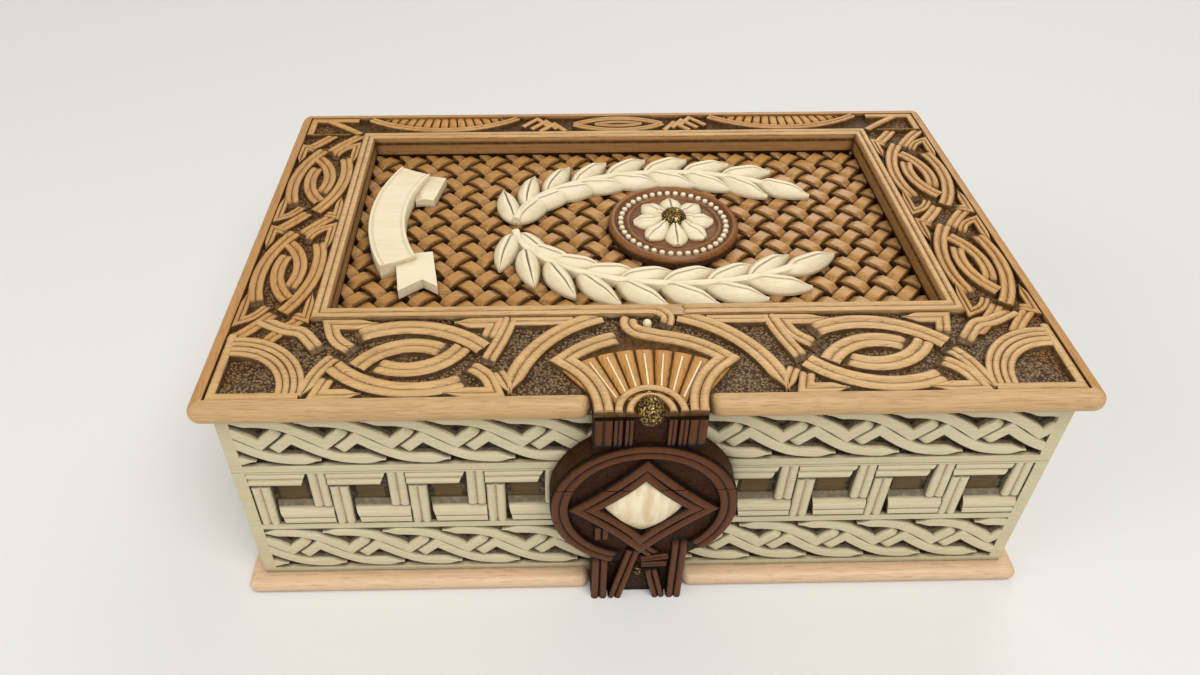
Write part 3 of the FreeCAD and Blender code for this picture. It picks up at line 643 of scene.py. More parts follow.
def draw_figure(board: NodeBoard, source: dict) -> dict:
    """Draw the figure and pores of wood that runs along its first axis.

    Args:
        board: where the nodes go.
        source: the group's inputs.

    Returns:
        The figure, the pores and a height for the bump.
    """
    broad = board.noise(source["Vector"], 0.11, Detail=3.0, Roughness=0.55, Distortion=0.6)
    fine = board.noise(source["Vector"], 0.9, Detail=4.0, Roughness=0.6)
    pores = board.ramp(board.noise(source["Vector"], 2.6, Detail=1.0), 0.55, 0.68)
    streak = board.sum("MULTIPLY_ADD", board.ramp(fine, 0.32, 0.68), 0.5,
                       board.ramp(broad, 0.3, 0.7, 0.0, 0.5))
    height = board.sum("SUBTRACT", board.ramp(streak, 0, 1, 0.4, 1.0), board.sum("MULTIPLY", pores, 0.6))
    return {"Figure": streak, "Pores": pores, "Height": height}


def wood_figure() -> Tree:
    """Give the group that draws the figure and pores of wood.

    Returns:
        The group.
    """
    outputs = dict.fromkeys(("Figure", "Pores", "Height"), "NodeSocketFloat")
    return node_group("wood_figure", "ShaderNodeTree", {"Vector": ("NodeSocketVector", None)}, outputs,
                      draw_figure)


def draw_wax_shade_and_highlight(board: NodeBoard, source: dict) -> dict:
    """Draw dark wax and painted shade in hollows, on the low parts of the bands and on the ground, and pale
    the high places with wear and a painted highlight.

    Args:
        board: where the nodes go.
        source: the group's inputs.

    Returns:
        The colour and the roughness.
    """
    uneven = board.noise(source["Vector"], 0.5, Detail=3.0)
    # Painted shade, along with the wax: the hollows that the occlusion finds, the parts of a band below its
    # line and the sunk ground all darken towards the wax colour.
    hollow = board.sum("SUBTRACT", 1.0, source["Open"])
    under = board.sum("SUBTRACT", source["Line"], source["Relief"])
    deep = board.sum("MAXIMUM", board.ramp(under, 0.0, 0.22), source["Ground"])
    gathered = board.sum("ADD", deep, board.ramp(hollow, 0.1, 0.6, 0.0, 0.8))
    ragged = board.sum("MULTIPLY", gathered, board.ramp(uneven, 0.25, 0.6, 0.8, 1.05))
    held = board.sum("MULTIPLY", ragged, board.sum("SUBTRACT", 1.0, source["Worn_Highlit"]))
    wax = board.sum("MULTIPLY", held, source["Amount"])
    # Painted highlight on carved pieces: the top of each band is mixed towards the pale colour, for wear and
    # for the light that catches it; pieces without relief are paled evenly.
    rubbed_and_highlit = board.sum("MULTIPLY", board.ramp(source["Relief"], 0.86, 1.0), source["Rub_Highlight"])
    pale = board.mix(rubbed_and_highlit, source["Wood"], source["Ridge"])
    polish = board.sum("MULTIPLY_ADD", board.noise(source["Vector"], 0.2), 0.12, source["Polish"])
    return {"Color": board.mix(wax, pale, source["Wax_And_Shade"]), "Roughness": board.ramp(wax, 0, 1, polish, 0.72)}


def wax_shade_and_highlight() -> Tree:
    """Give the group that leaves dark wax and painted shade in hollows and pales the high places with wear
    and a painted highlight.

    Returns:
        The group.
    """
    colours = dict.fromkeys(("Wood", "Ridge", "Wax_And_Shade"), ("NodeSocketColor", None))
    values = dict.fromkeys(("Open", "Line", "Ground", "Worn_Highlit", "Amount", "Rub_Highlight", "Polish"),
                           ("NodeSocketFloat", None))
    inputs = {"Vector": ("NodeSocketVector", None), **colours, **values, "Relief": ("NodeSocketFloat", 1.0)}
    outputs = {"Color": "NodeSocketColor", "Roughness": "NodeSocketFloat"}
    return node_group("wax_shade_and_highlight", "ShaderNodeTree", inputs, outputs, draw_wax_shade_and_highlight)


def draw_ground(board: NodeBoard, source: dict) -> dict:
    """Draw the mask of a carved face's sunk ground, below the skin of a block, where the wax and painted
    shade lie.

    Args:
        board: where the nodes go.
        source: the group's inputs.

    Returns:
        The mask.
    """
    place = board.add("ShaderNodeSeparateXYZ", {0: source["Vector"]}).outputs
    half = board.add("ShaderNodeSeparateXYZ", {0: source["Half"]}).outputs
    insets = [board.sum("SUBTRACT", half[axis], board.sum("ABSOLUTE", place[axis], clamp=False), clamp=False)
              for axis in (0, 1)]
    flat = board.sum("MINIMUM", *insets, clamp=False)
    drop = board.sum("SUBTRACT", half[2], place[2], clamp=False)
    rise = board.sum("SUBTRACT", place[2], source["Seam"], clamp=False)
    apart = board.sum("ABSOLUTE", rise, clamp=False)
    wall = board.sum("MULTIPLY", board.ramp(flat, 1.2, 2.6), board.ramp(flat, 6.0, 6.5, 1.0, 0.0))
    wall = board.sum("MULTIPLY", wall, board.ramp(apart, 0.3, 0.7))
    # Painted shade: the walls of the window's recess, below the ground, keep about a third of the darkening.
    sunk = board.sum("MULTIPLY", board.ramp(drop, 0.8, 2.2), board.ramp(drop, 2.8, 3.6, 1.0, 0.35))
    top = board.sum("MULTIPLY", sunk, board.ramp(flat, 4.7, 5.1))
    return {"Mask": board.mix_value(source["Top"], wall, top)}


def sunk_ground() -> Tree:
    """Give the group that finds the sunk ground of a carved face.

    Returns:
        The group.
    """
    inputs = {**dict.fromkeys(("Vector", "Half"), ("NodeSocketVector", None)),
              **dict.fromkeys(("Top", "Seam"), ("NodeSocketFloat", None))}
    return node_group("sunk_ground", "ShaderNodeTree", inputs, {"Mask": "NodeSocketFloat"}, draw_ground)


class Finish:
    """A finish that becomes a material the first time that it is asked for."""

    name: str

    def material(self) -> bpy.types.Material:
        """Give the finish as a material.

        Returns:
            The material, made on the first call.
        """
        made = bpy.data.materials.get(self.name)
        if not made:
            made = bpy.data.materials.new(self.name)
            made.use_nodes = True
            board = NodeBoard(made.node_tree)
            place = board.add("ShaderNodeTexCoord").outputs["Object"]
            board.wire(made.node_tree.nodes["Principled BSDF"], self.sockets(board, place))
        return made

    def sockets(self, board: NodeBoard, place: Socket) -> dict[str, object]:
        """Draw the finish's own nodes and give what goes into each of the shader's sockets."""
        raise NotImplementedError


@dataclass(frozen=True)
class Ground:
    """The block whose skin a carving is sunk into: half its width and depth, its top and its seam."""

    half: Spot
    from_top: bool
    seam: float = 65.7


class Run(Enum):
    """The axis that the grain of a piece runs along, as the stretch of its figure."""

    ALONG = (55.0, 1000.0, 1000.0)
    ACROSS = (1000.0, 55.0, 1000.0)
    UP = (1000.0, 1000.0, 55.0)


@dataclass(frozen=True)
class Wood(Finish):
    """A wood finish: its colours, its grain, the dark wax and painted shade left in its carving and the
    painted highlight on its high places.
    """

    name: str
    pale: Colour
    deep: Colour
    # The wax colour also serves as the painted shade in the hollows.
    wax: Colour
    run: Run = Run.ALONG
    carved: bool = False
    amount: float = 0.85
    reach: float = 3.5
    # How far the high places are paled, as wear and painted highlight.
    rub_and_highlight: float = 0.45
    polish: float = 0.36
    sheen: float = 0.28
    coat: float = 0.08
    stipple: float = 0.0
    # How far the tops of the punch marks are paled, as wear and painted highlight.
    worn_and_highlit: float = 0.35
    line: float = 0.9
    pores: float = 0.5
    ground: Ground | None = None

    def sockets(self, board: NodeBoard, place: Socket) -> dict[str, object]:
        """Draw the grain, the wax and painted shade left in the carving, the painted highlights and the punch
        marks of the ground.

        Args:
            board: where the nodes go.
            place: the piece's own coordinates.

        Returns:
            What goes into each of the shader's sockets.
        """
        plain = board.mapped(place, TRUE_SCALE)
        figure = board.add("ShaderNodeGroup", {"Vector": board.mapped(place, self.run.value)},
                           node_tree=wood_figure()).outputs
        wood = board.mix(figure["Figure"], self.deep, self.pale)
        wood = board.mix(board.sum("MULTIPLY", figure["Pores"], self.pores), wood, self.wax)
        # The occlusion marks the hollows for the wax and the painted shade.
        hollow = board.add("ShaderNodeAmbientOcclusion", {"Distance": self.reach * MM}, samples=6)
        values = {"Vector": plain, "Wood": wood, "Ridge": self.pale, "Wax_And_Shade": self.wax,
                  "Open": hollow.outputs["AO"], "Amount": self.amount, "Rub_Highlight": self.rub_and_highlight, "Polish": self.polish,
                  "Line": self.line}
        if self.carved:
            values["Relief"] = board.add("ShaderNodeAttribute", attribute_name="relief").outputs["Fac"]
        if self.ground:
            block = {"Vector": plain, "Half": self.ground.half, "Top": float(self.ground.from_top),
                     "Seam": self.ground.seam}
            values["Ground"] = board.add("ShaderNodeGroup", block, node_tree=sunk_ground()).outputs["Mask"]
        bump = {"Height": figure["Height"], "Strength": 0.35, "Distance": 0.00012}
        if self.stipple:
            dots = board.add("ShaderNodeTexVoronoi", {"Vector": plain, "Scale": 1.0 / self.stipple})
            punched = board.ramp(dots.outputs["Distance"], 0.15, 0.6, 1.0, 0.0)
            punched = board.sum("MULTIPLY", punched, values.get("Ground", 1.0))
            # Painted highlight: the raised tops of the punch marks hold less wax and show paler, for wear and
            # for the light on them.
            values["Worn_Highlit"] = board.sum("MULTIPLY", punched, self.worn_and_highlit)
            marks = board.sum("MULTIPLY_ADD", figure["Height"], 0.25, board.sum("MULTIPLY", punched, 0.75))
            bump = {"Height": marks, "Strength": 0.8, "Distance": 0.0005}
        carving = board.add("ShaderNodeGroup", values, node_tree=wax_shade_and_highlight()).outputs
        return {"Base Color": carving["Color"], "Roughness": carving["Roughness"],
                "Normal": board.add("ShaderNodeBump", bump).outputs[0], "Specular IOR Level": self.sheen,
                "Coat Weight": self.coat, "Coat Roughness": 0.3}


# Colours of the dark wax, which also serve as the painted shade in hollows, in gaps and on the sunk ground.
DARK_WAX_AND_SHADE = srgb(44, 24, 9)
WALL_WAX_AND_SHADE = srgb(42, 29, 15)
COVER_GROUND = Ground((150.0, 98.5, 103.2), True)
WALL_GROUND = Ground((144.0, 92.5, 103.2), False)
COVER_LONG = Wood("cover_wood_long", srgb(200, 152, 96), srgb(154, 104, 56), DARK_WAX_AND_SHADE, ground=COVER_GROUND,
                  amount=0.92)
# Painted light: the front's copy of the cover wood is paler than the back and side copies, as the front is
# lit brightest.
COVER_FRONT_LIT = Wood("cover_wood_front_lit", srgb(208, 172, 124), srgb(154, 115, 73), DARK_WAX_AND_SHADE,
                   ground=COVER_GROUND, amount=0.95, stipple=0.95, worn_and_highlit=0.62, sheen=0.2)
COVER_SHORT = replace(COVER_FRONT_LIT, name="cover_wood_short", pale=COVER_LONG.pale, deep=COVER_LONG.deep,
                      run=Run.ACROSS)
WALL_LONG = Wood("wall_wood_long", srgb(208, 197, 161), srgb(180, 165, 127), WALL_WAX_AND_SHADE, ground=WALL_GROUND,
                 amount=0.98, pores=0.15)
WALL_SHORT = replace(WALL_LONG, name="wall_wood_short", run=Run.ACROSS)
BASE = Wood("base_maple", srgb(220, 188, 152), srgb(192, 154, 118), srgb(92, 60, 34), amount=0.55)
TILE = Wood("tile_stained", srgb(104, 82, 52), srgb(72, 54, 31), srgb(30, 20, 10), sheen=0.15, coat=0.0)
# Painted shade: the board under the weave is near black, for the shade in the gaps between the strips.
PANEL = Wood("panel_wood", srgb(60, 35, 15), srgb(38, 21, 8), srgb(18, 9, 3), amount=0.95, sheen=0.15,
             coat=0.0)
# Painted shadow: the strips darken below 0.56 of their height, where their ends dive under the crossing
# strips.
WEAVE = Wood("weave_strips", srgb(198, 148, 86), srgb(140, 94, 46), srgb(36, 19, 7), carved=True, reach=4.0,
             line=0.56, polish=0.28, coat=0.2)
BRAID_LONG = Wood("braid_wood_long", srgb(214, 203, 168), srgb(187, 172, 134), WALL_WAX_AND_SHADE, carved=True,
                  amount=0.8, line=0.7, pores=0.15)
BRAID_SHORT = replace(BRAID_LONG, name="braid_wood_short", run=Run.ACROSS)
# Painted light: the front border's bands, and the bead and fan bands that share its wood, are paler than the
# back and side borders, as the front is lit brightest.
BORDER_FRONT_LIT = Wood("border_wood_front_lit", srgb(220, 180, 124), srgb(166, 120, 70), DARK_WAX_AND_SHADE, carved=True,
                    line=0.84, polish=0.3, coat=0.12)
BORDER_LONG = replace(BORDER_FRONT_LIT, name="border_wood_long", pale=srgb(212, 164, 102),
                      deep=srgb(156, 106, 55))
BORDER_SHORT = replace(BORDER_LONG, name="border_wood_short", run=Run.ACROSS)
FLUTE = Wood("flute_wood", srgb(204, 150, 80), srgb(164, 108, 48), srgb(52, 27, 8), Run.ACROSS, carved=True,
             line=0.75)
INLAY = Wood("inlay_wood", srgb(246, 226, 184), srgb(232, 206, 158), srgb(120, 80, 40), Run.ACROSS,
             amount=0.2)
# Dark stain, deepened to near black with painted shade.
CLASP = Wood("clasp_stain_and_shade", srgb(64, 35, 14), srgb(36, 18, 6), srgb(8, 3, 1), Run.UP, amount=0.9,
             stipple=1.1, polish=0.4, sheen=0.12, coat=0.02)
# Painted highlight: the clasp's bands are strongly paled on their tops.
CLASP_BAND = Wood("clasp_band_wood", srgb(98, 56, 23), srgb(52, 27, 10), srgb(9, 4, 1), Run.UP, carved=True,
                  amount=0.95, polish=0.3, rub_and_highlight=0.7, sheen=0.18, coat=0.04)
CREAM = Wood("cream_wood", srgb(242, 229, 198), srgb(226, 207, 166), srgb(120, 84, 44), carved=True,
             amount=0.6, line=0.3, pores=0.08)
WALNUT = Wood("walnut_wood", srgb(150, 98, 52), srgb(104, 62, 28), srgb(28, 14, 5), carved=True, line=0.7)


@dataclass(frozen=True)
class Metal(Finish):
    """A metal finish with uneven polish and patches of tarnish."""

    name: str
    bright: Colour
    tarnish: Colour
    rough: float
    speckle: float = 0.35

    def sockets(self, board: NodeBoard, place: Socket) -> dict[str, object]:
        """Draw the tarnish and the uneven polish.

        Args:
            board: where the nodes go.
            place: the piece's own coordinates.

        Returns:
            What goes into each of the shader's sockets.
        """
        cloud = board.noise(board.mapped(place, TRUE_SCALE), 1.4, Detail=5.0)
        spots = board.ramp(cloud, 0.62 - self.speckle, 0.75 - self.speckle / 2)
        bump = board.add("ShaderNodeBump", {"Strength": 0.3, "Distance": 0.0001, "Height": cloud})
        return {"Base Color": board.mix(spots, self.tarnish, self.bright),
                "Metallic": board.ramp(spots, 0, 1, 0.35, 1.0),
                "Roughness": board.ramp(spots, 0, 1, self.rough + 0.25, self.rough),
                "Normal": bump.outputs[0]}


BRASS = Metal("aged_brass", srgb(206, 170, 96), srgb(128, 94, 44), 0.28)
STEEL = Metal("magnet_steel", srgb(196, 196, 194), srgb(130, 128, 124), 0.25)
GILT = Metal("gilt_bead", srgb(212, 172, 84), srgb(34, 14, 7), 0.3, speckle=0.14)


@dataclass(frozen=True)
class Bone(Finish):
    """The smooth pale finish of the clasp's domed diamond."""

    name: str = "cabochon_bone"
    pale: Colour = srgb(240, 226, 192)
    deep: Colour = srgb(216, 192, 148)
    stretch: Spot = (1000.0, 1000.0, 220.0)

    def sockets(self, board: NodeBoard, place: Socket) -> dict[str, object]:
        """Draw the long pale veins.

        Args:
            board: where the nodes go.
            place: the piece's own coordinates.

        Returns:
            What goes into each of the shader's sockets.
        """
        vein = board.noise(board.mapped(place, self.stretch), 0.35, Detail=4.0)
        share = board.ramp(vein, 0.35, 0.65)
        return {"Base Color": board.mix(share, self.deep, self.pale),
                "Roughness": board.ramp(share, 0, 1, 0.34, 0.26), "Coat Weight": 0.2, "Coat Roughness": 0.15}


@dataclass(frozen=True)
class Felt(Finish):
    """The napped finish of the lining."""

    name: str = "lining_felt"
    pale: Colour = srgb(132, 34, 36)
    deep: Colour = srgb(84, 16, 20)

    def sockets(self, board: NodeBoard, place: Socket) -> dict[str, object]:
        """Draw the nap and the cloudy shade of the cloth.

        Args:
            board: where the nodes go.
            place: the piece's own coordinates.

        Returns:
            What goes into each of the shader's sockets.
        """
        plain = board.mapped(place, TRUE_SCALE)
        nap = board.noise(plain, 1.8, Detail=6.0, Distortion=1.5)
        cloud = board.noise(plain, 0.03, Detail=2.0)
        share = board.sum("MULTIPLY_ADD", cloud, 0.5, board.ramp(nap, 0.3, 0.7, 0, 0.6))
        bump = board.add("ShaderNodeBump", {"Strength": 0.6, "Distance": 0.0003, "Height": nap})
        return {"Base Color": board.mix(share, self.deep, self.pale), "Normal": bump.outputs[0],
                "Roughness": board.ramp(nap, 0, 1, 0.8, 1.0), "Sheen Weight": 0.35}


def geometry_tree(name: str, inputs: dict[str, str],
                  fill: Callable[[NodeBoard, dict], dict]) -> Tree:
    """Give a tree that turns a unit into a carving with one finish, built when first asked for.

    Args:
        name: the tree's name.
        inputs: socket type of each further input.
        fill: draws the nodes and gives the carving.

    Returns:
        The tree.
    """
    kinds = {"Unit": "NodeSocketGeometry", **inputs, "Finish": "NodeSocketMaterial"}
    return node_group(name, "GeometryNodeTree", {label: (kind, None) for label, kind in kinds.items()},
                      {"Carving": "NodeSocketGeometry"}, fill)


def dressed(board: NodeBoard, source: dict, instances: Socket) -> dict:
    """Make instances real faces and give them the tree's finish.

    Args:
        board: where the nodes go.
        source: the tree's inputs.
        instances: the instances.

    Returns:
        The carving.
    """
    real = board.add("GeometryNodeRealizeInstances", {0: instances}).outputs[0]
    carving = board.add("GeometryNodeSetMaterial", {"Geometry": real, "Material": source["Finish"]})
    return {"Carving": carving.outputs[0]}


def draw_lattice(board: NodeBoard, source: dict) -> dict:
    """Set a unit in columns, and the columns in rows.

    Args:
        board: where the nodes go.
        source: the tree's inputs.

    Returns:
        The carving.
    """
    unit = source["Unit"]
    for count, step in (("Columns", "Column Step"), ("Rows", "Row Step")):
        spots = board.add("GeometryNodeMeshLine", {"Count": source[count], "Offset": source[step]},
                          mode="OFFSET").outputs[0]
        unit = board.add("GeometryNodeInstanceOnPoints", {"Points": spots, "Instance": unit}).outputs[0]
    return dressed(board, source, unit)


def lattice_tree() -> Tree:
    """Give the tree that repeats a unit in rows and columns.

    Returns:
        The tree.
    """
    inputs = {"Columns": "NodeSocketInt", "Column Step": "NodeSocketVector", "Rows": "NodeSocketInt",
              "Row Step": "NodeSocketVector"}
    return geometry_tree("repeat_lattice", inputs, draw_lattice)


def draw_round(board: NodeBoard, source: dict) -> dict:
    """Set a unit round an upright axis.

    Args:
        board: where the nodes go.
        source: the tree's inputs.

    Returns:
        The carving.
    """
    spots = board.add("GeometryNodePoints", {"Count": source["Count"],
                                             "Position": source["Centre"]}).outputs[0]
    index = board.add("GeometryNodeInputIndex").outputs[0]
    angle = board.sum("MULTIPLY_ADD", index, source["Step"], source["Start"], clamp=False)
    turn = board.add("ShaderNodeCombineXYZ", {"Z": angle}).outputs[0]
    rotation = board.add("FunctionNodeEulerToRotation", {0: turn}).outputs[0]
    units = board.add("GeometryNodeInstanceOnPoints", {"Points": spots, "Instance": source["Unit"],
                                                       "Rotation": rotation}).outputs[0]
    return dressed(board, source, units)


def fan_tree() -> Tree:
    """Give the tree that repeats a unit round an upright axis.

    Returns:
        The tree.
    """
    inputs = {"Count": "NodeSocketInt", "Centre": "NodeSocketVector", "Step": "NodeSocketFloat",
              "Start": "NodeSocketFloat"}
    return geometry_tree("repeat_round", inputs, draw_round)


def repeat(piece: Piece, tree: Tree, finish: Finish, **values: object) -> None:
    """Replace a piece's unit by the repeats that a geometry tree makes of it.

    Args:
        piece: the object that holds one unit.
        tree: the geometry tree.
        finish: the finish of the result.
        values: the tree's inputs, with underscores for spaces.
    """
    modifier = piece.modifiers.new(tree.name, "NODES")
    modifier.node_group = tree
    given = {label.replace("_", " "): value for label, value in values.items()}
    given["Finish"] = finish.material()
    for item in tree.interface.items_tree:
        if item.item_type == "SOCKET" and item.in_out == "INPUT" and item.name in given:
            modifier[item.identifier] = given[item.name]
    graph = bpy.context.evaluated_depsgraph_get()
    mesh = bpy.data.meshes.new_from_object(piece.evaluated_get(graph), preserve_all_data_layers=True,
                                           depsgraph=graph)
    piece.modifiers.clear()
    piece.data = mesh


def finish_piece(piece: Piece, body: Body, finish: Finish | None = None,
                 stands_for: Sequence[str] = ()) -> Piece:
    """Shade a piece, dress it and hang it on its body.

    Args:
        piece: the finished object.
        body: the body that it rides on.
        finish: its finish, where its faces have none yet.
        stands_for: CAD nodes that it replaces.

    Returns:
        The same piece.
    """
    if finish:
        piece.data.materials.clear()
        piece.data.materials.append(finish.material())
    piece.data.shade_smooth()
    piece.data.set_sharp_from_angle(angle=SMOOTH_ANGLE)
    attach(piece, body.value)
    if stands_for:
        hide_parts(*stands_for)
    LOG.info("%s: %d faces on %s", piece.name, len(piece.data.polygons), body.value)
    return piece


def lowest(node: str) -> np.ndarray:
    """Give a CAD node's lowest corner in millimetres."""
    return np.array(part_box(node)[0]) / MM


def highest(node: str) -> np.ndarray:
    """Give a CAD node's highest corner in millimetres."""
    return np.array(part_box(node)[1]) / MM


@dataclass
class WeavePanel:
    """The sunk panel with its plaited strips."""

    repeat: float = 12.5
    strip_half: float = 2.55
    strip_reach: float = 6.35
    strip_step: float = 1.6
    weave_drop: float = 0.9
    weave_depth: float = 3.0
    lap: float = 5.0
    edge_clear: float = 0.25
    bend: float = 3.8
    bend_share: float = 0.32

    def build(self) -> None:
        """Make the panel with its pit and the two sets of strips."""
        low, high = lowest("weave_panel"), highest("weave_panel")
        top = high[2] - self.weave_drop
        floor = top - self.weave_depth
        self.build_panel(low, high, floor)
        low_edge, high_edge = low + self.lap, high - self.lap
        cuts = cuts_round((low_edge[0], high_edge[0]), (low_edge[1], high_edge[1]), -self.edge_clear)
        middle = (low + high) / 2
        columns, rows = (math.ceil((high[axis] - low[axis]) / self.repeat) + 1 for axis in (0, 1))
        corner = middle[:2] - self.repeat * np.array([columns - 1, rows - 1]) / 2
        reach = self.strip_reach / math.sqrt(2)
        for name, slope, shift in (("weave_rising", 1, 0.0), ("weave_falling", -1, 0.5)):
            start = corner + shift * self.repeat
            line = spaced((start - (reach, slope * reach), start + (reach, slope * reach)), self.strip_step)
            strip = Strand(line, self.strip_half, self.weave_depth, Section.BAR, dives=(self.bend, self.bend),
                           low_share=self.bend_share)
            piece = draw_strands(name, Face((0, 0, floor)), [strip])
            repeat(piece, lattice_tree(), WEAVE, Columns=columns, Rows=rows,
                   Column_Step=(self.repeat * MM, 0, 0), Row_Step=(0, self.repeat * MM, 0))
            trim(piece, cuts)
            finish_piece(piece, Body.LID)

    def build_panel(self, low: np.ndarray, high: np.ndarray, floor: float) -> None:
        """Make the board under the strips, with a pit for them.

        Args:
            low: lowest corner of the panel.
            high: highest corner of the panel.
            floor: height of the pit's floor.
        """
        loops = []
        for inset, level in ((0, low[2]), (0, high[2]), (self.lap, high[2]), (self.lap, floor)):
            x, y = (low[0] + inset, high[0] - inset), (low[1] + inset, high[1] - inset)
            loops.append([(x[0], y[0], level), (x[1], y[0], level), (x[1], y[1], level), (x[0], y[1], level)])
        draft = Draft()
        draft.add(np.array(loops, float).reshape(-1, 3), [(3, 2, 1, 0), (12, 13, 14, 15), *bridged(4, 4)])
        finish_piece(draft.piece("weave_board"), Body.LID, PANEL, ["weave_panel"])


@dataclass(frozen=True)
class Side:
    """One side of the box as a working face, with the field that its carving fills."""

    name: str
    face: Face
    half: float
    short: bool
    back: bool = False

    def cuts(self) -> list[Plane]:
        """Give the planes at the ends of the field."""
        along = np.array(self.face.along)
        return [(along * self.half, along), (-along * self.half, -along)]


@dataclass
class WallBands:
    """The braids and key pattern on the four sides."""

    carve: float = 3.0
    stile: float = 4.5
    braid_count_long: float = 12.5
    braid_count_short: float = 8.0
    braid_half: float = 2.2
    braid_turn: float = 18.9
    braid_dive: float = 3.0
    braid_taper: float = 6.0
    braid_low: float = 0.25
    key_count_long: int = 10
    key_count_short: int = 6
    key_gap: float = 0.12
    key_step: float = 9.0
    lower_braid: Point = (9.0, 33.4)
    key_band: Point = (36.2, 64.8)
    upper_braid: Point = (69.0, 93.4)
    back_key_top: float = 60.91
    back_braid_low: float = 71.29
    drawn_pitch: float = 22.3
    drawn_height: float = 24.4
    drawn_key: Point = (28.6, 29.5)
    descent: Line = ((-0.8, 9.6), (4.0, 9.5), (9.6, 9.3), (15.5, 8.1), (21.0, 5.3), (26.0, 1.9))
    notch: Point = (30.4, -1.6)
    ascent: Point = (38.4, 5.9)
    bars: tuple[tuple[Point, Point, float, Section, Point], ...] = (
        ((0.0, 25.7), (20.0, 25.7), 3.65, Section.REEDED, (0.0, 1.3)),
        ((25.1, 29.4), (25.1, 10.6), 3.5, Section.REEDED, (0.0, 0.0)),
        ((3.6, 0.0), (3.6, 21.6), 3.6, Section.REEDED, (0.0, 0.0)),
        ((8.6, 5.9), (28.5, 5.9), 5.8, Section.SILL, (-0.9, 0.0)))

    def sides(self) -> list[Side]:
        """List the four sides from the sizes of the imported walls.

        Returns:
            The front, the right side, the back and the left side.
        """
        wide, deep = highest("right_wall")[0], -lowest("front_wall")[1]
        ground_x, ground_y = wide - self.carve, deep - self.carve
        up = (0.0, 0.0, 1.0)
        return [Side("front", Face((0, -ground_y, 0), (1, 0, 0), up), wide - self.stile, False),
                Side("right", Face((ground_x, 0, 0), (0, 1, 0), up), deep - self.stile, True),
                Side("back", Face((0, ground_y, 0), (-1, 0, 0), up), wide - self.stile, False, True),
                Side("left", Face((-ground_x, 0, 0), (0, -1, 0), up), deep - self.stile, True)]

    def build(self) -> None:
        """Make the carved bands of every side."""
        for side in self.sides():
            self.build_braid(side, self.lower_braid, "lower", Body.TRAY)
            upper = (self.back_braid_low, self.upper_braid[1]) if side.back else self.upper_braid
            self.build_braid(side, upper, "upper", Body.LID)
            self.build_keys(side)

    def repeat_along(self, piece: Piece, side: Side, pitch: float, count: int) -> None:
        """Repeat a unit along a side.

        Args:
            piece: the object that holds one unit.
            side: the side that it runs along.
            pitch: the length of one repeat.
            count: how many repeats there are.
        """
        finish = BRAID_SHORT if side.short else BRAID_LONG
        step = np.array(side.face.along) * pitch * MM
        repeat(piece, lattice_tree(), finish, Columns=count, Rows=1, Column_Step=tuple(step),
               Row_Step=(0, 0, 0))

    def build_braid(self, side: Side, band: Point, level: str, body: Body) -> None:
        """Make one braid from its repeated pair of strands.

        Args:
            side: the side that it runs along.
            band: heights of its lower and upper edge.
            level: its place, for the piece's name.
            body: the body that carries it.
        """
        count = self.braid_count_short if side.short else self.braid_count_long
        pitch = 2 * side.half / count
        scale = np.array([pitch / self.drawn_pitch, (band[1] - band[0]) / self.drawn_height])
        start = np.array([-side.half - 2 * pitch, (band[0] + band[1]) / 2])
        upper = np.vstack((flowing(self.descent), spaced((self.descent[-1], self.notch, self.ascent))[1:]))
        turn = np.array([self.notch[0] + self.braid_turn, 0.0])
        strands = [Strand(start + path * scale, self.braid_half, self.carve, Section.STRAP,
                          dives=(0, self.braid_dive), tapers=(self.braid_taper, 0), low_share=self.braid_low)
                   for path in (upper, turn - upper)]
        piece = draw_strands(f"{side.name}_{level}_braid", side.face, strands)
        self.repeat_along(piece, side, pitch, math.ceil(count) + 3)
        trim(piece, side.cuts())
        finish_piece(piece, body)

    def build_keys(self, side: Side) -> None:
        """Make one side's key pattern from its repeated pinwheel of bars.

        Args:
            side: the side that it runs along.
        """
        count = self.key_count_short if side.short else self.key_count_long
        top = self.back_key_top if side.back else self.key_band[1]
        pitch = 2 * side.half / count
        scale = np.array([pitch / self.drawn_key[0], (top - self.key_band[0]) / self.drawn_key[1]])
        corner = np.array([-side.half, self.key_band[0]])
        strands = []
        for first, last, half, section, skews in self.bars:
            run = corner + np.array((first, last)) * scale
            level = abs(first[1] - last[1]) < self.key_gap
            strands.append(Strand(spaced(run, self.key_step), half * scale[1 if level else 0] - self.key_gap,
                                  self.carve, section, skews=skews))
        piece = draw_strands(f"{side.name}_key_band", side.face, strands)
        self.repeat_along(piece, side, pitch, count)
        finish_piece(piece, Body.TRAY)


